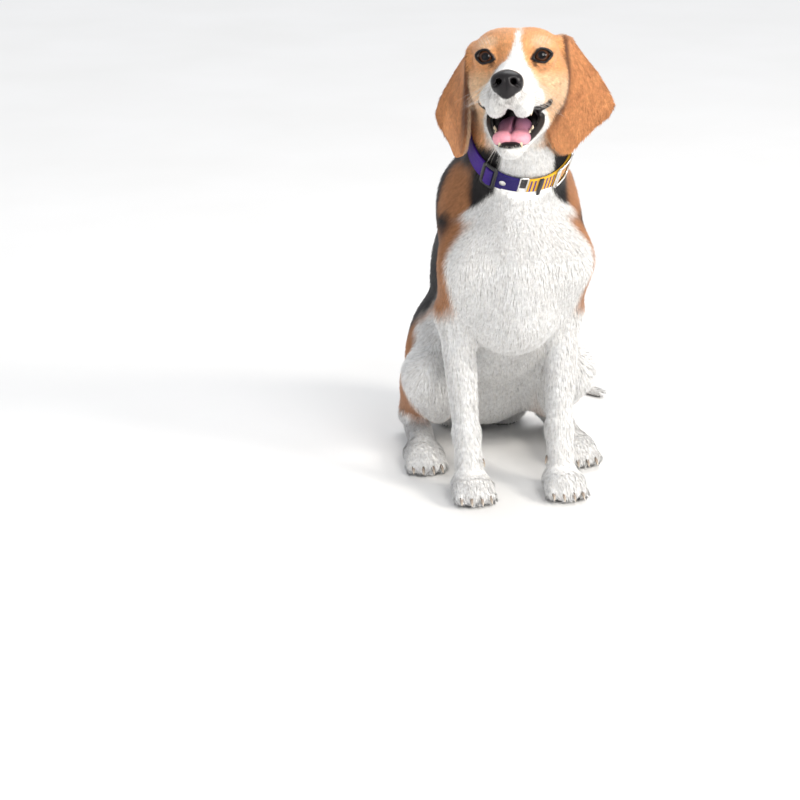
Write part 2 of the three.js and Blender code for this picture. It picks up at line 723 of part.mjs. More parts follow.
for (const ear of [parts.ear_left, parts.ear_right]) {
  parts.head = largest(parts.head.subtract(ear));
}
keep("jaw", largest(jaw), "coat", 0.12);

// tongue on the floor of the mouth
const tongueField = (p) => Math.max(together(tongueFlesh, toJaw(toHead(p))), 2 * gap - dogField(p));
const tongueGrid = { lo: [-60, -136, 380], hi: [60, 10, 470], cell: [6, 6, 5], facets: 170 };
const tongueAll = fleshIn(tongueGrid, tongueField, 2);
keep("tongue", largest(tongueAll.subtract(parts.jaw).subtract(parts.head)), "tongue", 0.12);

// collar: a loop lying on the neck
const collarX = [Math.cos(rad(collarRoll)), 0, Math.sin(rad(collarRoll))];
const collarY = [0, Math.cos(rad(collarTilt)), Math.sin(rad(collarTilt))];
const collarUp = unit(cross(collarX, collarY));
const knotEvery = 12;
function neckRadius(angle) {
  const d = add(times(collarX, Math.cos(angle)), times(collarY, Math.sin(angle)));
  let r = 30;
  for (let i = 0; i < 50; i++) {
    r -= together(bodyFlesh, add(collarAt, times(d, r))) * 0.7;
  }
  return r;
}
// straight between knots, so that straps of any length lie flat on each other
function loopRadius(angle) {
  const low = Math.floor(angle / knotEvery) * knotEvery;
  const [r0, r1] = [neckRadius(rad(low)), neckRadius(rad(low + knotEvery))];
  const step = rad(knotEvery);
  const a = rad(angle - low);
  return r0 * r1 * Math.sin(step) / (r0 * Math.sin(a) + r1 * Math.sin(step - a));
}
// a strap of rectangular section from one angle to another, its corners on knots all straps share
function strap(from, to, lift, thick, wide) {
  const knots = [from];
  for (let a = Math.floor(from / knotEvery + 1) * knotEvery; a < to - 0.5; a += knotEvery) {
    if (a > from + 0.5) {
      knots.push(a);
    }
  }
  knots.push(to);
  const points = [];
  const faces = [];
  knots.forEach((knot, i) => {
    const a = rad(knot);
    const d = add(times(collarX, Math.cos(a)), times(collarY, Math.sin(a)));
    const r = loopRadius(knot) + lift;
    for (const [dr, up] of [[0, -0.5], [thick, -0.5], [thick, 0.5], [0, 0.5]]) {
      points.push(add(collarAt, add(times(d, r + dr), times(collarUp, up * wide))));
    }
    for (let c = 0; i > 0 && c < 4; c++) {
      const [a0, b0] = [4 * (i - 1) + c, 4 * (i - 1) + (c + 1) % 4];
      faces.push([a0, b0, b0 + 4], [a0, b0 + 4, a0 + 4]);
    }
  });
  const e = points.length - 4;
  faces.push([0, 2, 1], [0, 3, 2], [e, e + 1, e + 2], [e, e + 2, e + 3]);
  const made = solidFrom({ points, faces });
  return made.volume() < 0 ? solidFrom({ points, faces: faces.map(([a, b, c]) => [a, c, b]) }) : made;
}
const bandLift = gap - 3;
for (const from of [0, 180]) {
  neck = neck.subtract(strap(from, from + 180, bandLift - gap, 12, bandWide + 2 * gap));
}
const bed = (from, to, wide) => {
  neck = neck.subtract(strap(from - 0.6, to + 0.6, bandLift - gap, 12, wide + 2 * gap));
};
// a channel lying over the band
function keeper(name, from, to, wide, thick) {
  bed(from, to, wide);
  const hollow = strap(from - 3, to + 3, bandLift - 2, bandThick + 2 + gap, bandWide + 2 * gap);
  keep(name, strap(from, to, bandLift, thick, wide).subtract(hollow), "black_plastic");
}
keeper("collar_slide_left", ...leftSlide, bandWide + 7, 5.4);
keeper("collar_slide_right", ...rightSlide, bandWide + 5, 4.6);
keep("collar_band_blue", strap(...blueBand, bandLift, bandThick, bandWide), "blue_webbing");
keep("collar_band_striped", strap(...stripedBand, bandLift, bandThick, bandWide), "striped_webbing");
bed(...linkSpan, bandWide + 6);
keep("collar_link", strap(...linkSpan, bandLift, 3.4, bandWide + 6)
  .subtract(strap(...linkSlot, bandLift - 4, 12, bandWide)), "steel");
bed(...buckleSpan, bandWide + 13);
keep("collar_buckle", strap(...buckleSpan, bandLift + bandThick + gap, 2.8, bandWide + 13)
  .subtract(strap(...buckleSlot, bandLift, 12, bandWide + 6)), "steel");
keep("neck", largest(neck), "coat", 0.12);
const rivetAngle = rad(rivetTurn);
const rivetWay = add(times(collarX, Math.cos(rivetAngle)), times(collarY, Math.sin(rivetAngle)));
const rivetAt = add(collarAt, times(rivetWay, loopRadius(rivetTurn) + bandLift + bandThick + gap + 0.8));
const rivetSide = unit(cross(rivetWay, collarUp));
keep("collar_rivet", solidOf(
  new THREE.CylinderGeometry(2.4, 3.4, 1.6, 14),
  placed(rivetSide, rivetWay, cross(rivetSide, rivetWay), rivetAt),
), "steel");

const colours = {
  coat: 0xc98a55,
  leather: 0x1c1a1a,
  eye: 0x4a2a17,
  claw: 0x5a4a3c,
  tongue: 0xd98a94,
  blue_webbing: 0x2e2a80,
  striped_webbing: 0xe0b030,
  black_plastic: 0x151518,
  steel: 0xb8bcc0,
};
const materials = {};
for (const [slot, colour] of Object.entries(colours)) {
  materials[slot] = new THREE.MeshStandardMaterial({ color: colour, name: slot, roughness: 0.7 });
}

// the parts stand over the middle of the floor
const bounds = new THREE.Box3();
const meshes = Object.entries(parts).map(([name, solid]) => {
  const m = solid.getMesh();
  const g = new THREE.BufferGeometry();
  const flat = new Float32Array(m.numVert * 3);
  for (let i = 0; i < m.numVert; i++) {
    flat.set(m.vertProperties.subarray(i * m.numProp, i * m.numProp + 3), i * 3);
  }
  g.setAttribute("position", new THREE.BufferAttribute(flat, 3));
  g.setIndex(new THREE.BufferAttribute(new Uint32Array(m.triVerts), 1));
  g.computeBoundingBox();
  bounds.union(g.boundingBox);
  const mesh = new THREE.Mesh(g, materials[slots[name]]);
  mesh.name = name;
  return mesh;
});
const dog = new THREE.Group();
dog.name = "beagle";
dog.add(...meshes);
dog.position.set(-(bounds.min.x + bounds.max.x) / 2, -(bounds.min.y + bounds.max.y) / 2, -bounds.min.z);

export default dog;
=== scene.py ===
import math
import time

import bmesh
import bpy
import numpy as np
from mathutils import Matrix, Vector


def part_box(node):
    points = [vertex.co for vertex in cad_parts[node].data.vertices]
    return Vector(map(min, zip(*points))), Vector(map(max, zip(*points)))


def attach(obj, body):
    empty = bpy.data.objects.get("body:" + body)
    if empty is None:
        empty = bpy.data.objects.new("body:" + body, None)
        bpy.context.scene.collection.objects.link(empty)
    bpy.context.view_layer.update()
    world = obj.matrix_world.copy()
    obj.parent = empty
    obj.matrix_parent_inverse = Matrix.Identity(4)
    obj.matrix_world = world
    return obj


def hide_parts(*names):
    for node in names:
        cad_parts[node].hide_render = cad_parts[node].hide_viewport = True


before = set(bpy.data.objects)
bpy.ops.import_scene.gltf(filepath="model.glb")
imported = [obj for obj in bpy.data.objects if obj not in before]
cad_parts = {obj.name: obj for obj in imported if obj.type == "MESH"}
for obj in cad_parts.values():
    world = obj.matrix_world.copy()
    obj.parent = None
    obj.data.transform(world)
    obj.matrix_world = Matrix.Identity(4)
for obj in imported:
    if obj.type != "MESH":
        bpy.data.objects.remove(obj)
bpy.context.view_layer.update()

startTime = time.time()
dice = np.random.default_rng(7)


def stage(text):
    print("beagle: %s (%.0f s)" % (text, time.time() - startTime))


# the pose, in millimetres: the chest faces -y, the dog's left is +x, the floor is z 0
pose = {
    "headAt": (-6.0, -12.0, 462.0),
    "pitch": 17.5,
    "yaw": -16.0,
    "roll": -2.5,
    "jawHinge": (0.0, 20.0, -22.0),
    "jawOpen": 18.5,
    "eyeAt": (27.0, -36.0, 7.5),
    "eyeRadius": 11.0,
}


def turn(x, y, z):
    a, b, c = (math.radians(v) for v in (x, y, z))
    tx = np.array([[1, 0, 0], [0, math.cos(a), -math.sin(a)], [0, math.sin(a), math.cos(a)]])
    ty = np.array([[math.cos(b), 0, math.sin(b)], [0, 1, 0], [-math.sin(b), 0, math.cos(b)]])
    tz = np.array([[math.cos(c), -math.sin(c), 0], [math.sin(c), math.cos(c), 0], [0, 0, 1]])
    return tz @ ty @ tx


headTurn = turn(-pose["pitch"], pose["roll"], pose["yaw"])
headAt = np.array(pose["headAt"])
jawTurn = turn(pose["jawOpen"], 0, 0)
jawAt = np.array(pose["jawHinge"])
eyeAt = np.array(pose["eyeAt"])


def toHead(p):
    return (p - headAt) @ headTurn


def fromHead(q):
    return q @ headTurn.T + headAt


def toJaw(q):
    return (q - jawAt) @ jawTurn + jawAt


def fromJaw(q):
    return (q - jawAt) @ jawTurn.T + jawAt


# the frame's origin is under the middle of the whole; the eye says how far this frame is from it
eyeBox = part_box("eye_left")
eyeMiddle = (np.array(eyeBox[0]) + np.array(eyeBox[1])) / 2
frameShift = eyeMiddle - fromHead(eyeAt[None])[0] / 1000


def toFrame(p):
    return np.asarray(p) / 1000 + frameShift


# flesh: balls and tapered limbs that run into each other over a blend length
# lie is the way the coat lies there; coat is how deep it is
def ball(at, size, blend, tilt=(0, 0, 0), lie=(0, 0, -1), coat=4.0, pair=True):
    at, size = np.array(at, float), np.array(size, float)
    return {"kind": "ball", "at": at, "size": size, "turn": turn(*tilt), "blend": blend, "pair": pair,
            "lie": np.array(lie, float), "coat": coat, "middle": at, "reach": float(size.max())}


def limb(start, end, startRadius, endRadius, blend, lie=None, coat=4.0, pair=True):
    start, end = np.array(start, float), np.array(end, float)
    lie = end - start if lie is None else np.array(lie, float)
    reach = np.linalg.norm(end - start) / 2 + max(startRadius, endRadius)
    return {"kind": "limb", "start": start, "end": end, "radii": (startRadius, endRadius), "blend": blend,
            "pair": pair, "lie": lie, "coat": coat, "middle": (start + end) / 2, "reach": float(reach)}


def distanceTo(e, q):
    if e["kind"] == "ball":
        r = (q - e["at"]) @ e["turn"]
        k0 = np.sqrt(((r / e["size"]) ** 2).sum(-1))
        k1 = np.sqrt(((r / e["size"] ** 2) ** 2).sum(-1))
        return k0 * (k0 - 1) / np.maximum(k1, 1e-9)
    along = e["end"] - e["start"]
    d = q - e["start"]
    h = np.clip((d @ along) / (along @ along), 0, 1)
    d = d - h[:, None] * along
    return np.sqrt((d ** 2).sum(-1)) - (e["radii"][0] + (e["radii"][1] - e["radii"][0]) * h)


def softMin(a, b, k):
    h = np.maximum(k - np.abs(a - b), 0) / k
    return np.minimum(a, b) - h * h * k / 4


def softCut(a, b, k):
    return -softMin(-a, b, k)


farAway = 60.0


def together(elements, q, start=None, join=softMin):
    f = np.full(len(q), farAway) if start is None else start
    mirrored = np.concatenate([np.abs(q[:, :1]), q[:, 1:]], 1)
    for e in elements:
        use = mirrored if e["pair"] else q
        near = ((use - e["middle"]) ** 2).sum(1) < (e["reach"] + e["blend"] + 14) ** 2
        if near.any():
            f[near] = join(f[near], distanceTo(e, use[near]), e["blend"])
    return f


bodyFlesh = [
    ball((0, 58, 250), (70, 78, 112), 24, (-35, 0, 0), (0, 0.6, -1), 3.2),  # rib cage
    ball((0, 0, 264), (50, 42, 54), 26, lie=(0, 0, -1), coat=3.4),  # forechest
    limb((0, 90, 300), (0, 150, 222), 50, 57, 44, coat=3.2),  # back
    limb((0, 150, 222), (0, 196, 120), 57, 63, 36, coat=3.2),  # loin
    ball((0, 130, 168), (60, 74, 84), 34, (-32, 0, 0), (0, 0.8, -1), 3),  # belly
    ball((0, 200, 88), (69, 68, 78), 30, (-30, 0, 0), (0, 0.5, -1), 3.4),  # rump
    ball((28, 224, 34), (34, 36, 40), 16, lie=(0, 0.3, -1), coat=3.4),  # seat
    limb((1, 60, 306), (3, 18, 376), 63, 50, 34, (0, 0.25, -1), 3.4, False),  # neck
    limb((3, 18, 376), (-1, 4, 430), 49, 47, 18, (0, 0.3, -1), 3.0, False),
    limb((34, 66, 318), (50, 6, 256), 27, 26, 32, (0, 0.2, -1), 3),  # shoulder
    limb((50, 6, 256), (57, 42, 192), 26, 22, 26, (0, 0.3, -1), 3),  # upper arm
    limb((58, 42, 190), (51, 10, 64), 21, 14, 14, coat=2.8),  # forearm
    ball((58, 55, 190), (12, 13, 17), 8, coat=3),  # elbow
    limb((51, 9, 66), (50, -8, 24), 14.5, 16, 8, coat=2.2),  # front pastern
    ball((50, -22, 15), (23, 29, 17), 8, lie=(0, -1, -0.3), coat=2),  # forepaw
    ball((60, 154, 102), (37, 84, 66), 26, (10, 0, 10), (0, -0.2, -1), 3.2),  # thigh
    limb((80, 92, 104), (80, 190, 38), 30, 18, 16, (0, 0.5, -0.8), 3.5),  # second thigh
    limb((80, 196, 24), (84, 108, 18), 17, 15, 10, coat=2.5),  # rear pastern
    ball((86, 86, 14), (23, 33, 16), 8, lie=(0, -1, -0.2), coat=2),  # hind paw
]
toePlaces = [(-15.5, 4), (-5.5, 0), (5.5, 0), (15.5, 4)]
for dx, dy in toePlaces:
    bodyFlesh.append(limb((50 + dx * 0.8, -30 + dy, 16), (50 + dx, -45 + dy, 10), 9.3, 8.8, 4, (0, -1, -0.5), 1.8))
    bodyFlesh.append(limb((86 + dx * 0.8, 72 + dy, 15), (87 + dx, 55 + dy, 10), 9.3, 8.8, 4, (0, -1, -0.5), 1.8))

tail = {"start": (0, 250, 40), "radius": 86.0, "sweep": 150.0, "thick": (20.0, 6.5), "steps": 9}


def tailPoint(u):
    a = math.radians(tail["sweep"]) * u
    thick = tail["thick"][0] + (tail["thick"][1] - tail["thick"][0]) * u ** 0.8
    x, y, z = tail["start"]
    lift = (z - thick) * max(0.0, 1 - u * 3.5) ** 2
    return (x + tail["radius"] * (1 - math.cos(a)), y + tail["radius"] * math.sin(a), thick - 1.5 + lift), thick


tailFlesh = []
for i in range(tail["steps"]):
    (startAt, startThick), (endAt, endThick) = tailPoint(i / tail["steps"]), tailPoint((i + 1) / tail["steps"])
    tailFlesh.append(limb(startAt, endAt, startThick, endThick, 12 if i == 0 else 0.8, coat=3.4, pair=False))

# head, in its own frame: its nose points to -y
skullFlesh = [
    ball((0, 22, 2), (52, 60, 38), 14, lie=(0, 1, 0), coat=2.4),  # brain case
    ball((0, -14, 12), (39, 34, 26), 16, lie=(0, 1, 0.5), coat=1.8),  # forehead
    ball((17, 2, 23), (24, 35, 18), 8, lie=(0.2, 1, 0), coat=2),  # crown
    ball((31, 2, -16), (20, 40, 28), 14, lie=(0.2, 1, -0.6), coat=2.2),  # cheek
    ball((26, -25, 16), (16, 14, 11), 8, lie=(0.6, 1, 0.6), coat=1.5),  # brow
    limb((0, -34, -8), (0, -98, -21), 17, 13, 14, (0, 1, 0.2), 1.2),  # bridge
    limb((9, -30, -26), (9, -92, -34), 18, 12, 12, (0.4, 1, -0.3), 1.3),  # muzzle side
    ball((13, -84, -43), (11, 23, 15), 6, lie=(0.3, 0.9, -0.8), coat=1.4),  # flews
    ball((24, -44, -34), (10, 26, 12), 10, lie=(0.2, 1, -0.4), coat=1.5),  # lip corner
    ball((0, -99, -40), (14, 13, 9), 8, lie=(0.3, 0.2, -1), coat=0.8),  # upper lip
    ball((0, -109, -24), (14, 12, 10), 4, coat=0),  # nose
    ball((0, -110, -32.5), (7.5, 8.5, 9.5), 9, coat=0),
    ball((9.3, -109, -25.5), (6.5, 9, 8), 4, coat=0),
    ball((0, 24, -34), (40, 44, 34), 18, lie=(0, 1, -0.8), coat=3),  # throat
    ball((27.2, -35.5, 7.5), (13.6, 12.8, 13), 5, lie=(0.5, 1, 0), coat=0.6),  # lids
]
jawFlesh = [
    limb((26, 14, -38), (11, -76, -51), 15, 6.5, 10, (0.1, 1, -0.3), 1.6),  # jaw side
    ball((0, -86, -55), (12.5, 12, 9.5), 8, lie=(0, 1, -0.6), coat=1.4),  # chin
    limb((0, 0, -46), (0, -80, -55), 20, 7, 10, (0, 1, -0.3), 1.8),  # under the jaw
]
mouthHollow = [
    limb((0, -18, -54), (0, -78, -67), 14, 13, 3),
    limb((12, -24, -51), (11, -78, -66), 11, 11, 3),
    limb((28, -34, -46), (17, -74, -62), 8, 9.5, 2),
    limb((34, -29, -42), (24, -52, -51), 5.5, 8, 2),  # corner
]
noseHollow = [
    limb((7.0, -120, -25.5), (8, -104, -26), 3.0, 2.2, 1.0),
    limb((7.5, -120, -27.5), (15.5, -110, -31.5), 2.3, 1.1, 1.0),
    limb((0, -122.5, -21), (0, -118.5, -43), 1.1, 1.6, 1.2, pair=False),
]

ear = {
    "thick": 3.4,
    "round": 10.0,
    "lift": 9.0,
    "coat": 1.4,
    "base": {1: (46.0, 2.0, 29.0), -1: (47.0, 2.0, 20.0)},
    "out": {1: 50.0, -1: 62.0},
    "swing": {1: -4.0, -1: 4.0},
    "outline": {
        1: ((4, 2), (8, 18), (38, 36), (68, 46), (74, 43), (93, 17), (103, 3), (104, -6), (98, -15),
            (90, -20), (64, -5), (30, 6)),
        -1: ((2, -10), (4, 14), (20, 21), (40, 24), (60, 30), (77, 35), (82, 32), (89, 22), (95, 8),
             (102, -5), (97, -16), (88, -23), (76, -26), (62, -26), (39, -23)),
    },
}


def earFrame(side):
    a = math.radians(ear["out"][side])
    down = np.array([0, 0, -1.0]) @ headTurn
    down[0] = down[0] * side + math.sin(math.radians(3))
    down /= np.linalg.norm(down)
    across = np.array([math.cos(a), math.sin(a), 0.0])
    across = across - down * (across @ down)
    across /= np.linalg.norm(across)
    normal = np.cross(down, across)
    if normal[0] < 0:
        normal = -normal
    w = math.radians(ear["swing"][side])
    return down * math.cos(w) + across * math.sin(w), across * math.cos(w) - down * math.sin(w), normal


def outlineDistance(s, t, points):
    d = np.full(s.shape, 1e9)
    inside = np.zeros(s.shape, bool)
    for i in range(len(points)):
        a, b = np.array(points[i], float), np.array(points[(i + 1) % len(points)], float)
        e = b - a
        h = np.clip(((s - a[0]) * e[0] + (t - a[1]) * e[1]) / (e @ e), 0, 1)
        d = np.minimum(d, np.hypot(s - a[0] - h * e[0], t - a[1] - h * e[1]))
        if e[1]:
            inside ^= ((a[1] > t) != (b[1] > t)) & (s < e[0] * (t - a[1]) / e[1] + a[0])
    return np.where(inside, -d, d)


def earPlace(q, side):
    down, across, normal = earFrame(side)
    r = q * np.array([side, 1, 1]) - np.array(ear["base"][side])
    return r @ down, r @ across, r @ normal


def earMiddle(s, t):
    low = np.clip(s / 60, 0, 1)
    m = ear["lift"] * np.sin(np.clip(s / 60, -0.5, 1.2) * math.pi / 2)
    m = m - 0.55 * t * np.clip(1 - s / 70, 0, 1) ** 2
    return m + 0.007 * np.clip(t - 16, 0, 60) ** 2 * low + 0.005 * np.clip(-12 - t, 0, 60) ** 2 * low


def earField(q, side):
    s, t, w = earPlace(q, side)
    edge = 3.0
    rim = np.maximum(outlineDistance(s, t, ear["outline"][side]) - ear["round"] + edge, 0)
    return np.hypot(rim, (w - earMiddle(s, t)) * 0.85) - ear["thick"]


# the opening between the lids: an almond bored to just under the eyeball's surface
lids = {"outward": 14.0, "rise": 4.0, "wide": 8.6, "high": 6.1, "tilt": 16.0, "soft": 1.2}


def eyePlace(q):
    mirrored = np.concatenate([np.abs(q[:, :1]), q[:, 1:]], 1)
    frameOut = turn(-lids["rise"], 0, lids["outward"])
    r = (mirrored - eyeAt) @ frameOut
    a = math.radians(lids["tilt"])
    x, z = r[:, 0] * math.cos(a) + r[:, 2] * math.sin(a), r[:, 2] * math.cos(a) - r[:, 0] * math.sin(a)
    return x, -r[:, 1], z


def lidOpening(q):
    x, along, z = eyePlace(q)
    across = np.hypot(x / lids["wide"], z / lids["high"])
    across = 0.6 * across + 0.4 * (np.abs(x) / lids["wide"] + np.abs(z) / lids["high"])
    side = (across - 1) * lids["high"]
    floorAt = np.sqrt(np.maximum(pose["eyeRadius"] ** 2 - x ** 2 - z ** 2, 16)) - 1.6
    return np.maximum(side, floorAt - along)


def headField(q, f):
    head = softMin(together(skullFlesh, q), together(jawFlesh, toJaw(q)), 7)
    f = softMin(f, head, 16)
    for side in (1, -1):
        s, _, _ = earPlace(q, side)
        f = softMin(f, earField(q, side), 2 + 9 * np.clip(1 - s / 30, 0, 1))
    f = together(mouthHollow, q, f, softCut)
    f = together(noseHollow, q, f, softCut)
    return softCut(f, lidOpening(q), lids["soft"])


def dogField(p):
    f = together(bodyFlesh, p)
    f = together(tailFlesh, p, f)
    q = toHead(p)
    near = (q ** 2).sum(1) < 230 ** 2
    if near.any():
        f[near] = headField(q[near], f[near])
    return np.maximum(f, -p[:, 2])


# meshing: one skin drawn through the field's zero on a grid that is finer round the head
def steps(stops):
    line = [stops[0][0]]
    for (a, cell), (b, _) in zip(stops, stops[1:]):
        n = max(1, round((b - a) / cell))
        line += [a + (b - a) * i / n for i in range(1, n + 1)]
    return np.array(line)


skinGrid = {
    "x": [(-112, 3.2), (-72, 1.5), (-50, 1.35), (50, 1.5), (72, 3.2), (172, 0)],
    "y": [(-150, 1.35), (-30, 1.8), (48, 3.4), (372, 0)],
    "z": [(-7, 3.0), (330, 2.4), (380, 1.35), (512, 0)],
    "block": 16,
}


def netsOver(field, xs, ys, zs, block):
    lines = [xs, ys, zs]
    n = [len(v) for v in lines]
    f = np.full(n, farAway, np.float32)
    for i in range(0, n[0], block):
        for j in range(0, n[1], block):
            for k in range(0, n[2], block):
                part = [lines[a][s:s + block] for a, s in enumerate((i, j, k))]
                lo, hi = np.array([v[0] for v in part]), np.array([v[-1] for v in part])
                middle = (lo + hi) / 2
                half = np.linalg.norm(hi - lo) / 2
                there = field(np.array([middle, middle + 1.0]))[0]
                if abs(there) > half * 1.6 + 6:
                    f[i:i + block, j:j + block, k:k + block] = there
                    continue
                g = np.stack(np.meshgrid(*part, indexing="ij"), -1)
                f[i:i + block, j:j + block, k:k + block] = field(g.reshape(-1, 3)).reshape(g.shape[:3])
    m = np.array(n) - 1
    total = np.zeros((*m, 3), np.float32)
    count = np.zeros(m, np.int8)

    def corner(c):
        return tuple(slice(c[a], c[a] + m[a]) for a in range(3))

    for axis in range(3):
        for u in (0, 1):
            for v in (0, 1):
                a = [0, 0, 0]
                a[(axis + 1) % 3], a[(axis + 2) % 3] = u, v
                b = list(a)
                b[axis] = 1
                fa, fb = f[corner(a)], f[corner(b)]
                crossing = (fa < 0) != (fb < 0)
                t = np.where(crossing, fa / np.where(crossing, fa - fb, 1), 0)
                for ax in range(3):
                    total[..., ax] += np.where(crossing, a[ax] + (b[ax] - a[ax]) * t, 0)
                count += crossing
    used = count > 0
    index = np.full(m, -1)
    index[used] = np.arange(used.sum())
    cells = np.argwhere(used)
    share = total[used] / count[used][:, None]
    points = np.stack([lines[a][cells[:, a]] + share[:, a] * (lines[a][cells[:, a] + 1] - lines[a][cells[:, a]])
                       for a in range(3)], 1)
    inside = f < 0
    quads = []
    for axis in range(3):
        u, v = (axis + 1) % 3, (axis + 2) % 3
        low = [slice(1, m[a]) for a in range(3)]
        low[axis] = slice(0, m[axis])
        high = list(low)
        high[axis] = slice(1, m[axis] + 1)
        fa, fb = inside[tuple(low)], inside[tuple(high)]
        for flip, at in ((False, fa & ~fb), (True, ~fa & fb)):
            c = np.argwhere(at)
            offset = np.ones(3, int)
            offset[axis] = 0
            c = c + offset

            def neighbour(du, dv):
                d = c.copy()
                d[:, u] -= du
                d[:, v] -= dv
                return index[d[:, 0], d[:, 1], d[:, 2]]

            q = np.stack([neighbour(1, 1), neighbour(0, 1), neighbour(0, 0), neighbour(1, 0)], 1)
            quads.append(q[:, ::-1] if flip else q)
    return points, np.concatenate(quads)


def slopeOf(field, p, e=0.35):
    corners = np.array([[1, -1, -1], [-1, -1, 1], [-1, 1, -1], [1, 1, 1]], float)
    return sum(d * field(p + e * d)[:, None] for d in corners) / (4 * e)


def pulled(field, p, times, level=0.0, most=1.5):
    for _ in range(times):
        g = slopeOf(field, p)
        move = ((field(p) - level) / np.maximum((g ** 2).sum(1), 0.05))[:, None] * g
        size = np.linalg.norm(move, axis=1, keepdims=True)
        p = p - move * np.minimum(1, most / np.maximum(size, 1e-9))
    return p


def unit(v):
    return v / np.maximum(np.linalg.norm(v, axis=-1, keepdims=True), 1e-9)


def smooth(x, low, high):
    t = np.clip((x - low) / (high - low), 0, 1)
    return t * t * (3 - 2 * t)


def mix(a, b, t):
    return a + (b - a) * t[:, None]


def wobble(p, size, seed):
    # a slow random wave that keeps the borders of the markings from being straight
    r = np.random.default_rng(seed)
    total = np.zeros(len(p))
    for _ in range(5):
        way = unit(r.normal(size=3)) / size * r.uniform(0.6, 1.7)
        total += np.sin(p @ way * 2 * math.pi + r.uniform(0, 6.28))
    return total / 5


# the lie and the depth of the coat at any point, from the flesh that is near it
def coatAround(p):
    q = toHead(p)
    total = np.zeros((len(p), 4))
    weight = np.full(len(p), 1e-6)

    def add(elements, at, back):
        mirrored = np.concatenate([np.abs(at[:, :1]), at[:, 1:]], 1)
        for e in elements:
            use = mirrored if e["pair"] else at
            near = ((use - e["middle"]) ** 2).sum(1) < (e["reach"] + 30) ** 2
            if not near.any():
                continue
            w = np.exp(-np.clip(distanceTo(e, use[near]), -8, 40) / 5)
            lie = np.repeat(unit(e["lie"])[None], near.sum(), 0)
            if e["pair"]:
                lie[:, 0] *= np.sign(at[near, 0] + 1e-6)
            total[near, :3] += w[:, None] * back(lie)
            total[near, 3] += w * e["coat"]
            weight[near] += w

    add(bodyFlesh, p, lambda v: v)
    add(tailFlesh, p, lambda v: v)
    add(skullFlesh, q, lambda v: v @ headTurn.T)
    add(jawFlesh, toJaw(q), lambda v: v @ jawTurn.T @ headTurn.T)
    for side in (1, -1):
        d = earField(q, side)
        near = d < 12
        if near.any():
            w = 6 * np.exp(-np.clip(d[near] + 1, -2, 12) / 2)
            down, across, _ = earFrame(side)
            lie = (down * np.array([side, 1, 1])) @ headTurn.T
            total[near, :3] += w[:, None] * lie
            total[near, 3] += w * ear["coat"]
            weight[near] += w
    return total[:, :3] / weight[:, None], total[:, 3] / weight


# the collar's loop: an angle round the neck (0 at the dog's left, 90 at the nape) and a height across the band
collar = {"at": (3.0, 18.0, 381.0), "tilt": 42.0, "roll": -3.0, "wide": 25.0, "thick": 2.4, "lift": -2.6}
collarAt = np.array(collar["at"])
collarX = np.array([math.cos(math.radians(collar["roll"])), 0, math.sin(math.radians(collar["roll"]))])
collarY = np.array([0, math.cos(math.radians(collar["tilt"])), math.sin(math.radians(collar["tilt"]))])
collarUp = unit(np.cross(collarX, collarY))


def neckRadius(angles):
    d = np.cos(angles)[:, None] * collarX + np.sin(angles)[:, None] * collarY
    r = np.full(len(angles), 30.0)
    for _ in range(50):
        r -= together(bodyFlesh, collarAt + d * r[:, None]) * 0.7
    return r


roundTurn = np.radians(np.arange(-180, 180, 4.0))
loopRadii = neckRadius(roundTurn)
loopRadii = (np.roll(loopRadii, 1) + np.roll(loopRadii, -1) + 2 * loopRadii) / 4


def onCollar(degrees, out, up):
    a = np.radians(np.asarray(degrees, float))
    wrapped = (a + math.pi) % (2 * math.pi) - math.pi
    r = np.interp(wrapped, roundTurn, loopRadii, period=2 * math.pi)
    d = np.cos(a)[..., None] * collarX + np.sin(a)[..., None] * collarY
    return collarAt + d * (r + out)[..., None] + collarUp * np.asarray(up, float)[..., None]


def collarPlace(p):
    r = p - collarAt
    return np.arctan2(r @ collarY, r @ collarX), np.hypot(r @ collarX, r @ collarY), r @ collarUp


# where the face is bare: nose leather, lips and mouth, rims of the eyes, pads
def bareParts(p):
    q = toHead(p)
    nose = together(skullFlesh[10:13], q)
    others = together(skullFlesh[:10], q)
    leather = smooth(nose - 0.35 * np.minimum(others, 6), 1.6, 0.2) * (q[:, 1] < -96)
    hollow = together(mouthHollow, q)
    flesh = softMin(together(skullFlesh, q), together(jawFlesh, toJaw(q)), 7)
    inMouth = smooth(hollow, 1.6, 0.6) * smooth(flesh, -0.8, -2.6)
    low = smooth(together(jawFlesh, toJaw(q)) - together(skullFlesh, q), 3, -3)
    wide = 2.2 + 5.5 * low + 1.5 * smooth(q[:, 1], -70, -54) * (1 - low)
    lip = smooth(hollow - wide, 1.0, -0.6) * smooth(flesh, -9, -5)
    opening = lidOpening(q)
    x, along, z = eyePlace(q)
    nearEye = (x ** 2 + z ** 2 < 300) & (along > 2)
    rim = smooth(opening, 3.7, 2.4) * nearEye
    pads = smooth(p[:, 2], 2.4, 0.8)
    return {"leather": leather, "mouth": inMouth, "lip": np.maximum(lip - inMouth, 0), "rim": rim, "pads": pads,
            "q": q, "flesh": flesh}


paint = {
    "tan": (0.80, 0.365, 0.145),
    "tanPale": (0.90, 0.63, 0.40),
    "earTan": (0.64, 0.265, 0.108),
    # the dark ear colour: dark ear hair, and also the painted shade along the ear's front fold and in the crease
    # beside the ear
    "earDarkAndFoldShade": (0.12, 0.042, 0.018),
    "white": (0.94, 0.92, 0.89),
    "black": (0.013, 0.011, 0.012),
    "thighTan": (0.46, 0.205, 0.09),
    "speckle": (0.20, 0.18, 0.17),
    "leather": (0.012, 0.010, 0.011),
    "lip": (0.010, 0.007, 0.007),
    "mouth": (0.30, 0.09, 0.10),
    "pad": (0.03, 0.022, 0.02),
    "rim": (0.008, 0.006, 0.006),
}
paint = {name: np.array(value) for name, value in paint.items()}

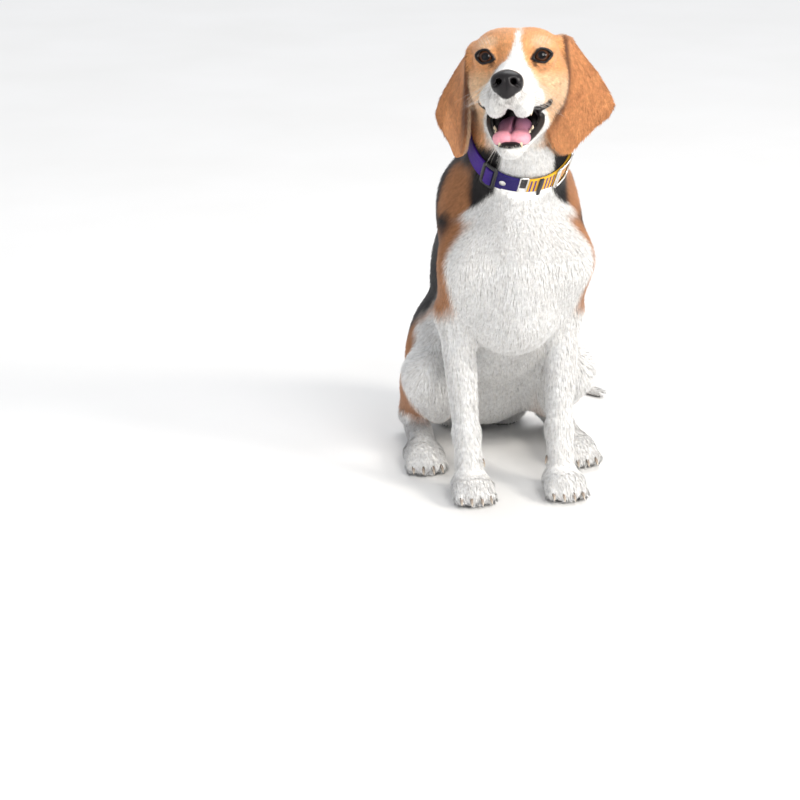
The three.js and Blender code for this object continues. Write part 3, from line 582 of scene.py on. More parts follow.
# the blaze, as half width against height in the head's own frame (from crown to lips)
blaze = {
    "height": (-60.0, -40.0, -28.0, -15.0, -6.0, 2.0, 12.0, 24.0, 38.0, 44.0),
    "half": (34.0, 30.0, 27.0, 23.0, 17.5, 9.0, 4.8, 2.6, 2.4, 0.0),
    "middle": (0.0, 0.0, 0.0, 0.0, 0.0, 2.5, 4.0, 4.0, 3.9, 3.9),
}


def coatColours(p, bare):
    q = bare["q"]
    x, y, z = q[:, 0], q[:, 1], q[:, 2]
    wave = wobble(p, 26, 3)
    fine = wobble(p, 7, 4)
    grain = wobble(p, 60, 5)

    def flat(name):
        return np.repeat(paint[name][None], len(p), 0)

    # body: black saddle, tan where it thins out, white below
    bx, by, bz = p[:, 0], p[:, 1], p[:, 2]
    spine = np.interp(by, (-40, 20, 90, 150, 200, 300), (400, 372, 318, 262, 205, 120))
    below = spine - bz + 6 * wave
    side = np.abs(bx)
    saddle = smooth(below, 118, 88) * smooth(by, 4, 30)
    shoulder = ((by - 34) / 42) ** 2 + ((bz - 262) / 66) ** 2 + 0.1 * wave
    shoulder = smooth(shoulder, 1.35, 0.75) * smooth(side, 30, 48)
    thigh = ((by - 176) / 76) ** 2 + ((bz - 92) / 66) ** 2 + 0.1 * wave
    thigh = smooth(thigh, 1.25, 0.8) * smooth(side, 34, 56)
    rump = smooth(below, 150, 118) * smooth(by, 150, 190)
    body = mix(flat("white"), paint["thighTan"], np.maximum(np.maximum(shoulder, thigh), rump))
    rim = smooth(below, 128, 100) * smooth(by, 0, 26)
    body = mix(body, paint["thighTan"], rim * (1 - saddle))
    body = mix(body, paint["black"], saddle * (1 - 0.75 * shoulder * smooth(bz, 300, 270)))
    # neck: white at the throat, black beside it, tan outside that over the shoulder
    whiteHalf = np.interp(bz, (285, 300, 312, 324, 340, 380, 410), (90, 72, 60, 44, 31, 27.5, 27))
    whiteHalf = whiteHalf + 1.8 * wave + 1.2 * fine
    aside = np.abs(bx - 2.5)
    forward = smooth(by - 0.35 * (bz - 330), 30, 14)
    throat = smooth(aside, whiteHalf + 1.8, whiteHalf - 1.8) * forward
    tanOuter = smooth(aside, 49, 56) * smooth(bz + 3 * wave, 366, 350) * smooth(by, 66, 50)
    neckColour = mix(flat("black"), paint["thighTan"], tanOuter)
    neckColour = mix(neckColour, paint["white"], throat)
    body = mix(body, neckColour, smooth(bz + 3 * wave, 298, 314))
    # legs and paws white, tail black over with a white tip
    legs = smooth(bz, 150, 118) * (by < 50) + smooth(bz, 46, 30)
    body = mix(body, paint["white"], np.clip(legs, 0, 1) * (1 - thigh * smooth(bz, 30, 44)))
    tailU = np.clip((np.degrees(np.arctan2(by - 250, tail["radius"] - bx)) / tail["sweep"]), 0, 1)
    onTail = smooth(by, 262, 276) * smooth(bz, 60, 46)
    tailColour = mix(flat("black"), paint["thighTan"], smooth(bz, 16, 9))
    tailColour = mix(tailColour, paint["white"], smooth(tailU + 0.02 * wave, 0.70, 0.76))
    body = mix(body, tailColour, onTail)

    # head: tan, paler round the eyes and on the cheeks, white blaze, muzzle and throat
    pale = smooth(((np.abs(x) - 25) / 13) ** 2 + ((z - 20) / 10) ** 2 + ((y + 32) / 20) ** 2, 1.3, 0.3) * 0.55
    pale = np.maximum(pale, smooth(z, 2, -16) * smooth(y, 26, -20) * 0.75)
    head = mix(flat("tan"), paint["tanPale"], np.clip(pale + 0.08 * fine, 0, 1))
    head = mix(head, paint["earTan"], smooth(y, 10, 45) * 0.5)
    half = np.interp(z, blaze["height"], blaze["half"])
    middle = np.interp(z, blaze["height"], blaze["middle"])
    off = np.abs(x - middle) - half - 0.8 * fine - 0.6 * wobble(p, 3.5, 9)
    white = smooth(off, 1.4, -1.4) * smooth(y, 14, -6)
    muzzle = smooth(y + 0.35 * (z + 40) + 1.5 * fine, -52, -62) * smooth(z, 0, -8)
    chin = smooth(z, -50, -58) * smooth(y, -18, -34)
    under = smooth(z + 0.25 * y, -68, -80) * smooth(np.abs(x) - 0.12 * np.abs(z + 60), 33, 24)
    under = under * smooth(y, 46, 20)
    head = mix(head, paint["white"], np.max([white, muzzle, chin, under], 0))
    nose = together(skullFlesh[10:13], q)
    speck = smooth(nose, 13, 2) * smooth(z, -22, -36) * smooth(fine + 0.8 * wobble(p, 2.2, 12), -0.5, 0.5)
    head = mix(head, paint["speckle"], np.clip(speck, 0, 1) * 0.8)
    # the nape is black
    nape = smooth(y - 0.35 * (z + 30), 44, 60)
    head = mix(head, paint["black"], nape * smooth(z, 10, -20))
    onHead = smooth(z - 0.55 * (y - 10), -78, -70)
    jawed = smooth(y, -20, -30) * smooth(z, -130, -120)
    colour = mix(body, head, np.clip(np.maximum(onHead, jawed), 0, 1))

    # ears: redder, lighter in streaks, with painted shade along the front fold and in the crease in front of each
    # ear
    for sideOf in (1, -1):
        s, t, w = earPlace(q, sideOf)
        on = smooth(earField(q, sideOf), 2.4, 0.6) * smooth(s, -16, -4)
        streaks = wobble(np.stack([s * 0.13, t, w * 0.2], 1), 4.0, 14)
        streaks = streaks + 0.6 * wobble(np.stack([s * 0.1, t, w * 0.2], 1), 1.8, 15)
        earColour = mix(flat("earTan"), paint["tan"], np.clip(0.35 + 0.9 * streaks, 0, 1) * 0.6)
        edge = outlineDistance(s, t, ear["outline"][sideOf]) - ear["round"]
        earColour = mix(earColour, paint["earDarkAndFoldShade"], np.clip(-0.1 - 0.8 * streaks, 0, 1) * 0.4)
        earColour = mix(earColour, paint["earDarkAndFoldShade"], smooth(edge, -6, -1) * 0.25)
        # painted shade along the ear's front fold, where it curls over the cheek
        if sideOf < 0:
            front = smooth(t, -12, -27)
        else:
            front = smooth(t - np.interp(s, (0, 40, 64, 95), (6, 2, -5, -22)), 4, -8)
        earColour = mix(earColour, paint["earDarkAndFoldShade"], front * smooth(s, 98, 62) * 0.92)
        inner = smooth(w - earMiddle(s, t), 0.4, -0.8)
        earColour = mix(earColour, paint["tanPale"], inner * 0.5)
        # painted shade on the head, in the crease just in front of the ear
        crease = smooth(earField(q, sideOf), 8, 1.5) * smooth(s, 4, 16) * smooth(s, 92, 70) * smooth(y, 20, -4)
        colour = mix(colour, paint["earDarkAndFoldShade"], crease * 0.8)
        colour = mix(colour, earColour, on)

    colour = colour * (1 + 0.07 * fine + 0.05 * grain)[:, None]
    colour = mix(colour, paint["pad"], bare["pads"])
    colour = mix(colour, paint["lip"], np.clip(bare["lip"], 0, 1))
    colour = mix(colour, paint["mouth"], np.clip(bare["mouth"] * smooth(bare["flesh"], -6, -16), 0, 1))
    colour = mix(colour, paint["lip"], np.clip(bare["mouth"] * (1 - smooth(bare["flesh"], -6, -16)), 0, 1))
    colour = mix(colour, paint["leather"], bare["leather"])
    colour = mix(colour, paint["rim"], bare["rim"])
    ex, ealong, ez = eyePlace(q)
    tear = smooth(((ex + lids["wide"] + 1.5) / 3.2) ** 2 + ((ez + 5.0) / 3.2) ** 2, 1.2, 0.5) * (ealong > 0)
    colour = mix(colour, paint["rim"], tear * 0.7)
    return np.clip(colour, 0.004, 0.95)


# materials: a node's input takes a value or another node's output
def nodesOf(name):
    m = bpy.data.materials.new(name)
    m.use_nodes = True
    return m, m.node_tree, m.node_tree.nodes["Principled BSDF"]


def wire(nt, node, inputs):
    for key, value in inputs.items():
        if isinstance(value, bpy.types.NodeSocket):
            nt.links.new(value, node.inputs[key])
        else:
            node.inputs[key].default_value = value
    return node


def add(nt, kind, inputs, **settings):
    node = nt.nodes.new("ShaderNode" + kind)
    for key, value in settings.items():
        setattr(node, key, value)
    return wire(nt, node, inputs).outputs


def attribute(nt, name):
    return add(nt, "Attribute", {}, attribute_name=name)


def noiseOn(nt, scale, detail=2.0, roughness=0.5):
    place = add(nt, "TexCoord", {})["Object"]
    inputs = {"Vector": place, "Scale": scale, "Detail": detail, "Roughness": roughness}
    return add(nt, "TexNoise", inputs)["Fac"]


def mathOf(nt, operation, *values):
    return add(nt, "Math", dict(enumerate(values)), operation=operation)[0]


def ranged(nt, value, low, high, fromLow=0.0, fromHigh=1.0):
    return add(nt, "MapRange", {"Value": value, "From Min": fromLow, "From Max": fromHigh,
                                "To Min": low, "To Max": high})["Result"]


def scaled(nt, colour, factor):
    return add(nt, "VectorMath", {0: colour, "Scale": factor}, operation="SCALE")["Vector"]


def bumped(nt, height, strength, distance):
    return add(nt, "Bump", {"Height": height, "Strength": strength, "Distance": distance})["Normal"]


def ramp(nt, value, stops):
    node = nt.nodes.new("ShaderNodeValToRGB")
    elements = node.color_ramp.elements
    elements.remove(elements[1])
    elements[0].position, elements[0].color = stops[0][0], (*stops[0][1], 1)
    for at, colour in stops[1:]:
        elements.new(min(at, 1.0)).color = (*colour, 1)
    return wire(nt, node, {"Fac": value}).outputs["Color"]


def coatMaterial(name, bump, roughness, sheen=0.0):
    m, nt, shader = nodesOf(name)
    noise = noiseOn(nt, 260.0, 3.0, 0.6)
    wire(nt, shader, {
        "Base Color": scaled(nt, attribute(nt, "fur")["Color"], ranged(nt, noise, 0.82, 1.16, 0.3, 0.7)),
        "Normal": bumped(nt, noise, bump, 0.0008),
        "Roughness": ranged(nt, attribute(nt, "wet")["Fac"], roughness, 0.32),
        "Specular IOR Level": 0.3,
        "Sheen Weight": sheen,
        "Sheen Roughness": 0.4,
    })
    return m


def meshObject(name, points, faces, material=None, smoothed=True):
    mesh = bpy.data.meshes.new(name)
    mesh.from_pydata(np.asarray(points).tolist(), [], faces.tolist() if isinstance(faces, np.ndarray) else faces)
    mesh.validate()
    if smoothed:
        mesh.polygons.foreach_set("use_smooth", np.ones(len(mesh.polygons), bool))
    made = bpy.data.objects.new(name, mesh)
    bpy.context.scene.collection.objects.link(made)
    if material:
        mesh.materials.append(material)
    return made


def vertexArray(mesh):
    v = np.empty(len(mesh.vertices) * 3, np.float32)
    mesh.vertices.foreach_get("co", v)
    return v.reshape(-1, 3).astype(float)


def triangleArray(mesh):
    mesh.calc_loop_triangles()
    t = np.empty(len(mesh.loop_triangles) * 3, np.int32)
    mesh.loop_triangles.foreach_get("vertices", t)
    return t.reshape(-1, 3)


def setAttribute(mesh, name, kind, values):
    made = mesh.attributes.new(name, kind, "POINT")
    key = {"FLOAT": "value", "FLOAT_COLOR": "color", "FLOAT_VECTOR": "vector"}[kind]
    made.data.foreach_set(key, np.ascontiguousarray(values, np.float32).ravel())


def setColour(mesh, name, colours):
    setAttribute(mesh, name, "FLOAT_COLOR", np.concatenate([colours, np.ones((len(colours), 1))], 1))


def finishPiece(made, slot, *nodes):
    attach(made, "root")
    if nodes:
        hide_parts(*nodes)


# skin: the outline first, then drawn in by the depth of the coat
skinSettings = {"triangles": 170000}
points, quads = netsOver(dogField, *(steps(skinGrid[axis]) for axis in "xyz"), skinGrid["block"])
points = pulled(dogField, points, 2)
stage("outline drawn, %d points" % len(points))
outer = meshObject("outline", points, quads)
thin = outer.modifiers.new("thin", "DECIMATE")
thin.ratio = skinSettings["triangles"] / (len(quads) * 2)
thin.use_collapse_triangulate = True
graph = bpy.context.evaluated_depsgraph_get()
thinned = bpy.data.meshes.new_from_object(outer.evaluated_get(graph))
skinPoints = vertexArray(thinned)
skinFaces = triangleArray(thinned)
bpy.data.objects.remove(outer)
skinPoints = pulled(dogField, skinPoints, 1)
stage("outline thinned, %d triangles" % len(skinFaces))

bare = bareParts(skinPoints)
lie, depth = coatAround(skinPoints)
bareness = np.clip(bare["leather"] + bare["mouth"] + bare["lip"] + bare["rim"] + bare["pads"], 0, 1)
edges = np.concatenate([skinFaces[:, [0, 1]], skinFaces[:, [1, 2]], skinFaces[:, [2, 0]]])
degree = np.bincount(edges.ravel(), minlength=len(skinPoints))[:, None]


def spread(values, times):
    for _ in range(times):
        total = np.stack([np.bincount(edges.ravel(), edges_values, len(skinPoints))
                          for edges_values in values[edges[:, ::-1]].reshape(-1, values.shape[1]).T], 1)
        values = 0.3 * values + 0.7 * total / np.maximum(degree, 1)
    return values


depth = depth * (1 - bareness)
depth = np.minimum(depth, spread(depth[:, None], 6)[:, 0])
normals = unit(slopeOf(dogField, skinPoints))
lie = lie - (lie * normals).sum(1, keepdims=True) * normals
lie = unit(spread(unit(lie), 12))
innerPoints = skinPoints - normals * depth[:, None] * 0.9
skinColours = coatColours(skinPoints, bare)
stage("coat laid and coloured")

skinMaterial = coatMaterial("skin", 0.25, 0.75)
skin = meshObject("skin", toFrame(innerPoints), skinFaces, skinMaterial)
# the skin is drawn a little darker than the coat colour it carries: painted shade under the tufts
setColour(skin.data, "fur", skinColours * 0.97)
wet = np.clip(bare["leather"] + bare["mouth"] + bare["lip"] * 0.8 + bare["rim"], 0, 1)
setAttribute(skin.data, "wet", "FLOAT", wet)
fleshNodes = ["trunk", "neck", "head", "jaw", "nose", "tail", "ear_left", "ear_right",
              "foreleg_left", "foreleg_right", "hindleg_left", "hindleg_right"]
finishPiece(skin, "coat", *fleshNodes)


# the coat: short solid tufts rooted on the skin, lying the way the hair lies
coatSettings = {
    # tufts to a square millimetre, their length and width
    "fine": (1.0, 5.4, 0.95),
    "middle": (0.62, 7.6, 1.15),
    "coarse": (0.27, 11.0, 1.7),
    "patch": 0.003,  # of the bake map, to a tuft
    "sunk": 0.5,
    "variety": 0.08,  # how far one tuft's tone is from the next
}


def unwrapped(name, faces):
    used, local = np.unique(faces, return_inverse=True)
    made = meshObject(name, innerPoints[used] / 1000, local.reshape(-1, 3))
    bpy.ops.object.select_all(action="DESELECT")
    made.select_set(True)
    bpy.context.view_layer.objects.active = made
    bpy.ops.object.mode_set(mode="EDIT")
    bpy.ops.mesh.select_all(action="SELECT")
    bpy.ops.uv.smart_project(angle_limit=math.radians(66), island_margin=0.002)
    bpy.ops.object.mode_set(mode="OBJECT")
    uv = np.empty(len(made.data.loops) * 2, np.float32)
    made.data.uv_layers.active.data.foreach_get("uv", uv)
    bpy.data.objects.remove(made)
    return uv.reshape(-1, 3, 2)


first, second, third = (innerPoints[skinFaces[:, i]] for i in range(3))
triangleArea = 0.5 * np.linalg.norm(np.cross(second - first, third - first), axis=1)
faceBare = bareness[skinFaces].max(1)
faceMiddle = skinPoints[skinFaces].mean(1)
faceHead = toHead(faceMiddle)


def tufts(name, faces, perSquare, long, wide, material):
    uv = unwrapped(name, faces)
    where = coatMask[name]
    total = (triangleArea[where] * perSquare * (faceBare[where] < 0.6) * ~underBand[where]).cumsum()
    count = int(total[-1])
    at = (np.arange(count) + dice.uniform(0, 1, count)) * total[-1] / count
    tri = np.minimum(np.searchsorted(total, at), len(faces) - 1)
    a, b = dice.uniform(0, 1, count), dice.uniform(0, 1, count)
    flip = a + b > 1
    a, b = np.where(flip, 1 - a, a), np.where(flip, 1 - b, b)
    bary = np.stack([1 - a - b, a, b], 1)
    corner = faces[tri]

    def at3(values):
        return (values[corner] * bary[..., None]).sum(1)

    root = at3(innerPoints)
    n, way = unit(at3(normals)), at3(lie)
    tall = at3(depth[:, None])[:, 0]
    colour = at3(skinColours)
    rootUv = (uv[tri] * bary[..., None]).sum(1)
    way = unit(way - (way * n).sum(1, keepdims=True) * n)
    aside = np.cross(n, way)
    swirl = dice.normal(0, 0.16, count)[:, None]
    way = unit(way + aside * swirl)
    aside = np.cross(n, way)
    full = tall / max(depth[corner].mean(), 0.5)
    length = long * dice.uniform(0.78, 1.2, count) * np.clip(0.35 + full * 0.65, 0.35, 1.15)
    # shorter just above the band, so that they stop at its edge
    room = collarPlace(root)[2] - collar["wide"] / 2
    length = np.where((room > 0) & (room < 14), np.minimum(length, 1.2 + room * 0.9), length)
    width = wide * dice.uniform(0.75, 1.2, count)
    lift = tall * dice.uniform(0.75, 1.12, count) + 0.1
    # each tuft: a three-sided spike, sunk a little at the root, its tip at the outline
    base = root - n * coatSettings["sunk"]
    half = (width * 0.62)[:, None]
    high = np.minimum(half[:, 0] * 0.8, 0.3 * lift + 0.2)[:, None]
    tip = root + way * length[:, None] + n * lift[:, None]
    verts = np.stack([base - aside * half, base + aside * half, base + n * high, tip], 1).reshape(-1, 3)
    # none goes through the floor
    verts[:, 2] = np.maximum(verts[:, 2], 0.05 * dice.uniform(0.5, 1.5, len(verts)))
    spike = np.array([(0, 2, 1), (0, 1, 3), (1, 2, 3), (2, 0, 3)])
    tris = (np.arange(count)[:, None, None] * 4 + spike).reshape(-1, 3)
    # each tuft is darker at the root than at the tip: painted shade deep in the coat; hair varies each tuft's tone
    # at random
    along = np.tile([0.0, 0.0, 0.0, 1.0], count)
    hair = dice.normal(1, coatSettings["variety"], count)
    shade = (0.86 + 0.22 * along)[:, None] * np.repeat(hair, 4)[:, None]
    made = meshObject(name, toFrame(verts), tris, material)
    mesh = made.data
    setColour(mesh, "fur", np.clip(np.repeat(colour, 4, 0) * shade, 0.003, 0.95))
    layer = mesh.uv_layers.new(name="OFBake")
    patch = coatSettings["patch"]
    onPatch = np.array([(-0.5, -0.5), (0.0, -0.5), (0.5, -0.5), (0.0, 0.5)]) * patch
    spot = (np.clip(rootUv, patch, 1 - patch)[:, None] + onPatch).reshape(-1, 2)[tris.ravel()]
    layer.data.foreach_set("uv", np.ascontiguousarray(spot, np.float32).ravel())
    lean = np.tile([-0.55, 0.55, 0.0, 0.0], count)[:, None]
    own = unit(np.repeat(n, 4, 0) + np.repeat(aside, 4, 0) * lean + np.repeat(way, 4, 0) * 0.25)
    mesh.normals_split_custom_set_from_vertices(own.astype(np.float32).tolist())
    finishPiece(made, "coat")
    return len(tris)


furMaterial = coatMaterial("fur", 0.15, 0.62, 0.15)
onEar = {}
for side in (1, -1):
    s, _, _ = earPlace(faceHead, side)
    onEar[side] = (earField(faceHead, side) < 1.2) & (s > -14)
isHead = faceHead[:, 2] - 0.55 * (faceHead[:, 1] - 10) > -74
isHead = isHead | ((faceHead[:, 1] < -25) & (faceHead[:, 2] > -125))
anyEar = onEar[1] | onEar[-1]
face = isHead & ~anyEar
_, faceOut, faceAbove = collarPlace(faceMiddle)
underBand = (np.abs(faceAbove) < collar["wide"] / 2 + 0.5) & (faceOut < 85)
rest = ~isHead & ~anyEar
bib = rest & (faceMiddle[:, 2] > 268) & (faceMiddle[:, 1] < 40)
low = rest & (faceMiddle[:, 2] < 120)
back = rest & ~bib & ~low
left = faceMiddle[:, 0] >= 0
coatMask = {
    "coat_ear_left": onEar[1],
    "coat_ear_right": onEar[-1] & ~onEar[1],
    "coat_face_left": face & (faceHead[:, 0] >= 0),
    "coat_face_right": face & (faceHead[:, 0] < 0),
    "coat_bib": bib,
    "coat_trunk_left": back & left,
    "coat_trunk_right": back & ~left,
    "coat_low_left": low & left,
    "coat_low_right": low & ~left,
}
triangleTotal = 0
for name in coatMask:
    kind = "fine" if "ear" in name or "face" in name else "middle" if name == "coat_bib" else "coarse"
    made = tufts(name, skinFaces[coatMask[name]], *coatSettings[kind], furMaterial)
    print(name, made)
    triangleTotal += made
stage("coat grown, %d triangles" % triangleTotal)


# quads between rings of k points, with a cap at each end unless the last ring meets the first
def ringFaces(count, k, closed=False):
    faces = []
    for i in range(count if closed else count - 1):
        here, there = i * k, (i + 1) % count * k
        faces += [(here + j, here + (j + 1) % k, there + (j + 1) % k, there + j) for j in range(k)]
    if not closed:
        faces += [tuple(range(k - 1, -1, -1)), tuple(range((count - 1) * k, count * k))]
    return faces


def tube(path, radii, sides=8, squeeze=(1.0, 1.0), closed=False, up=(0, 0, 1)):
    path = np.asarray(path, float)
    n = len(path)
    radii = np.broadcast_to(np.asarray(radii, float), n)
    way = unit(np.roll(path, -1, 0) - np.roll(path, 1, 0) if closed else np.gradient(path, axis=0))
    side = unit(np.cross(way, np.broadcast_to(up, way.shape)))
    rise = np.cross(side, way)
    a = (np.arange(sides) * 2 * math.pi / sides)[None, :, None]
    ring = np.cos(a) * side[:, None] * squeeze[0] + np.sin(a) * rise[:, None] * squeeze[1]
    return (path[:, None] + ring * radii[:, None, None]).reshape(-1, 3), ringFaces(n, sides, closed)


def joined(parts):
    points, faces, at = [], [], 0
    for p, f in parts:
        points.append(p)
        faces += [tuple(i + at for i in face) for face in f]
        at += len(p)
    return np.concatenate(points), faces


def outward(made):
    bm = bmesh.new()
    bm.from_mesh(made.data)
    bmesh.ops.recalc_face_normals(bm, faces=bm.faces)
    bm.to_mesh(made.data)
    bm.free()
    return made


# eyes: a ball with a raised cornea, its iris and pupil painted round the line of sight
eyes = {
    "look": {1: (0.16, -0.98, 0.085), -1: (-0.06, -0.99, 0.01)},
    "iris": 0.70,  # radius as a share of the ball's
    "pupil": 0.33,
    "cornea": 0.75,  # how far it is raised, in millimetres
    "black": (0.003, 0.003, 0.004),
}


def eyeMaterial():
    m, nt, shader = nodesOf("eye")
    split = add(nt, "SeparateXYZ", {0: attribute(nt, "sight")["Vector"]})
    flat = add(nt, "CombineXYZ", {"X": split["X"], "Y": split["Y"]})[0]
    away = add(nt, "VectorMath", {0: flat}, operation="LENGTH")["Value"]
    ray = add(nt, "VectorMath", {0: flat}, operation="NORMALIZE")[0]
    streak = add(nt, "TexNoise", {"Vector": ray, "Scale": 9.0, "Detail": 3.0})["Fac"]
    radius = mathOf(nt, "ADD", away, mathOf(nt, "MULTIPLY_ADD", streak, 0.07, -0.035))
    iris, pupil = eyes["iris"], eyes["pupil"]
    stops = [(0.0, eyes["black"]), (pupil - 0.02, eyes["black"]), (pupil + 0.03, (0.035, 0.011, 0.004)),
             (pupil + 0.14, (0.065, 0.021, 0.007)), (iris - 0.08, (0.05, 0.017, 0.006)),
             (iris - 0.01, (0.010, 0.005, 0.003)), (iris + 0.05, (0.10, 0.06, 0.045)),
             (iris + 0.11, (0.60, 0.53, 0.49)), (1.0, (0.62, 0.45, 0.41))]
    wire(nt, shader, {
        "Base Color": ramp(nt, radius, stops),
        "Roughness": 0.5,
        "Specular IOR Level": 0.0,
        "Coat Weight": 1.0,
        "Coat IOR": 1.34,
        "Coat Roughness": 0.02,
    })
    return m


eyeFinish = eyeMaterial()
for side, name in ((1, "left"), (-1, "right")):
    gaze = unit(np.array(eyes["look"][side]) @ headTurn.T)
    across = unit(np.cross(gaze, (0, 0, 1)))
    bm = bmesh.new()
    bmesh.ops.create_uvsphere(bm, u_segments=48, v_segments=40, radius=1.0)
    local = np.array([v.co[:] for v in bm.verts])
    bump = smooth(local[:, 2], 0.78, 0.96) * eyes["cornea"]
    ball3 = local * (pose["eyeRadius"] - 0.25 + bump)[:, None]
    frame3 = np.stack([across, np.cross(gaze, across), gaze])
    world3 = ball3 @ frame3 + fromHead((eyeAt * np.array([side, 1, 1]))[None])
    faces = [[v.index for v in f.verts] for f in bm.faces]
    bm.free()
    made = outward(meshObject("eyeball_" + name, toFrame(world3), faces, eyeFinish))
    setAttribute(made.data, "sight", "FLOAT_VECTOR", local)
    finishPiece(made, "eye", "eye_" + name)
stage("eyes set")


# tongue: a thick leaf with a groove down its middle and lobes curled up at its front
tongue = {
    "paint": ((0.52, 0.21, 0.29), (0.26, 0.11, 0.19), (0.86, 0.35, 0.42)),  # body, painted shade at the back and in the groove, front lobes
}
tongueFlesh = [
    ball((0, -34, -44), (17, 26, 9.5), 8),
    ball((0, -60, -49.5), (17.5, 25, 7), 8),
    ball((8, -71, -46.5), (9.5, 15, 5.5), 8),
    ball((6.5, -79, -45), (9.5, 9, 5.5), 8),
]
tongueGroove = [limb((0, -18, -33), (0, -58, -40.5), 1.8, 1.6, 3, pair=False),
                limb((0, -58, -40.5), (0, -84, -39), 1.5, 0.9, 3, pair=False)]


def tongueField(q):
    return together(tongueGroove, q, together(tongueFlesh, q), softCut)


tongueGrid = [np.arange(-22, 22, 1.1), np.arange(-94, 2, 1.2), np.arange(-62, -30, 1.0)]
tonguePoints, tongueQuads = netsOver(tongueField, *tongueGrid, 12)
tonguePoints = pulled(tongueField, tonguePoints, 2)


def wetFlesh(name, bump, scale):
    m, nt, shader = nodesOf(name)
    noise = noiseOn(nt, scale, 4.0)
    place = add(nt, "TexCoord", {})["Object"]
    bumps = add(nt, "TexVoronoi", {"Vector": place, "Scale": scale * 3})["Distance"]
    wire(nt, shader, {
        "Base Color": scaled(nt, attribute(nt, "tint")["Color"], ranged(nt, noise, 0.75, 1.2)),
        "Normal": bumped(nt, bumps, bump, 0.0005),
        "Roughness": ranged(nt, noise, 0.28, 0.5),
        "Subsurface Weight": 0.12,
        "Subsurface Radius": (0.004, 0.0015, 0.001),
    })
    return m


body0, shadeInMouth0, front0 = (np.array(c) for c in tongue["paint"])
# darker towards the back and along the groove: painted shade inside the mouth
tint = mix(np.repeat(body0[None], len(tonguePoints), 0), shadeInMouth0, smooth(tonguePoints[:, 1], -70, -34))
tint = mix(tint, front0, smooth(tonguePoints[:, 1], -74, -84))
groove = 0.65 * smooth(np.abs(tonguePoints[:, 0]), 3.2, 0.6)
tint = mix(tint, shadeInMouth0, groove * smooth(tonguePoints[:, 1], -84, -74))
tonguePoints = toFrame(fromHead(fromJaw(tonguePoints)))
made = meshObject("tongue_leaf", tonguePoints, tongueQuads, wetFlesh("tongue", 0.5, 420.0))
setColour(made.data, "tint", tint)
finishPiece(made, "tongue", "tongue")

# teeth: root x, y, z, length and width, in the head's frame above and the jaw's below
teeth = {
    "upper": ((11, -86, -44, 11, 2.8), (15, -73, -45.5, 7, 2.6), (16.5, -64, -45.5, 7.5, 3.0),
              (18, -54, -45, 8.5, 3.4), (6.5, -93, -44, 5, 1.8), (2.2, -95, -44, 4.5, 1.6)),
    "lower": ((10, -87, -51, 9.5, 2.5), (14.5, -72, -49, 7, 2.6), (16.5, -62, -48, 8, 3.0),
              (18.5, -51, -46, 8.5, 3.4), (5.2, -91, -52, 4.5, 1.5), (1.8, -92, -52, 4, 1.4)),
    "ivory": ((0.78, 0.66, 0.47), (0.62, 0.45, 0.27)),
}
toothParts = []
for row, down in (("upper", -1), ("lower", 1)):
    for x, y, z, long, wide in teeth[row]:
        for side in (1, -1):
            u = np.linspace(-0.25, 1, 9)
            curve = np.stack([(x + u * 0.8) * side, y + 0.10 * long * u ** 2, z + down * long * 0.85 * u], 1)
            radii = wide * np.clip(1 - np.clip(u, 0, 1) ** 1.7, 0.05, 1)
            p, f = tube(curve, radii, 10, (1.0, 0.85), up=(1, 0, 0))
            toothParts.append((fromHead(p if row == "upper" else fromJaw(p)), f))
toothPoints, toothFaces = joined(toothParts)
ivory = np.array(teeth["ivory"])
level = np.tile(np.repeat(np.linspace(-0.25, 1, 9), 10), len(toothParts))
made = outward(meshObject("teeth", toFrame(toothPoints), toothFaces, wetFlesh("ivory", 0.1, 160.0)))
setColour(made.data, "tint", mix(np.repeat(ivory[1][None], len(level), 0), ivory[0], smooth(level, -0.1, 0.35)))
finishPiece(made, "claw")
stage("mouth filled")


# claws: bent tapering horn, one to a toe and a dewclaw on each foreleg
claws = {
    "long": 11.0,
    "thick": 2.6,
    "droop": 0.35,
    "paint": ((0.10, 0.07, 0.055), (0.42, 0.34, 0.27), (0.6, 0.52, 0.43)),  # root, middle, tip
}
clawNodes, clawParts = [], []
for side, name in ((1, "left"), (-1, "right")):
    places = [("fore", (50 + dx, -50.5 + dy, 11), (dx * 0.006, -1, -0.1), claws["long"]) for dx, dy in toePlaces]
    places.append(("fore", (36.5, -4, 38), (-0.6, -0.35, -0.8), claws["long"] * 0.8))
    places += [("hind", (87 + dx, 49.5 + dy, 11), (dx * 0.006, -1, -0.1), claws["long"]) for dx, dy in toePlaces]
    for i, (kind, root, way, long) in enumerate(places):
        u = np.linspace(0, 1, 12)
        way = unit(np.array(way))
        rise = np.cross(unit(np.cross(way, (0, 0, 1))), way)
        curve = np.array(root) + way * (u * long)[:, None] - rise * (long * claws["droop"] * u ** 2)[:, None]
        p, f = tube(curve, claws["thick"] * np.clip(1 - u, 0.003, 1) ** 0.55, 12, (0.8, 1.0))
        clawParts.append((p * np.array([side, 1, 1]), f))
        clawNodes.append("claw_%s_%s_%d" % (kind, name, (i if kind == "fore" else i - 5) + 1))
clawPoints, clawFaces = joined(clawParts)
clawMaterial, nt, shader = nodesOf("horn")
grown = mathOf(nt, "MULTIPLY_ADD", noiseOn(nt, 900.0, 3.0), 0.35, attribute(nt, "along")["Fac"])
horn = [(0.2, claws["paint"][0]), (0.75, claws["paint"][1]), (1.1, claws["paint"][2])]
wire(nt, shader, {"Base Color": ramp(nt, grown, horn), "Roughness": 0.35})
made = outward(meshObject("claws", toFrame(clawPoints), clawFaces, clawMaterial))
setAttribute(made.data, "along", "FLOAT", np.tile(np.repeat(np.linspace(0, 1, 12), 12), len(clawParts)))
finishPiece(made, "claw", *clawNodes)
stage("claws set")


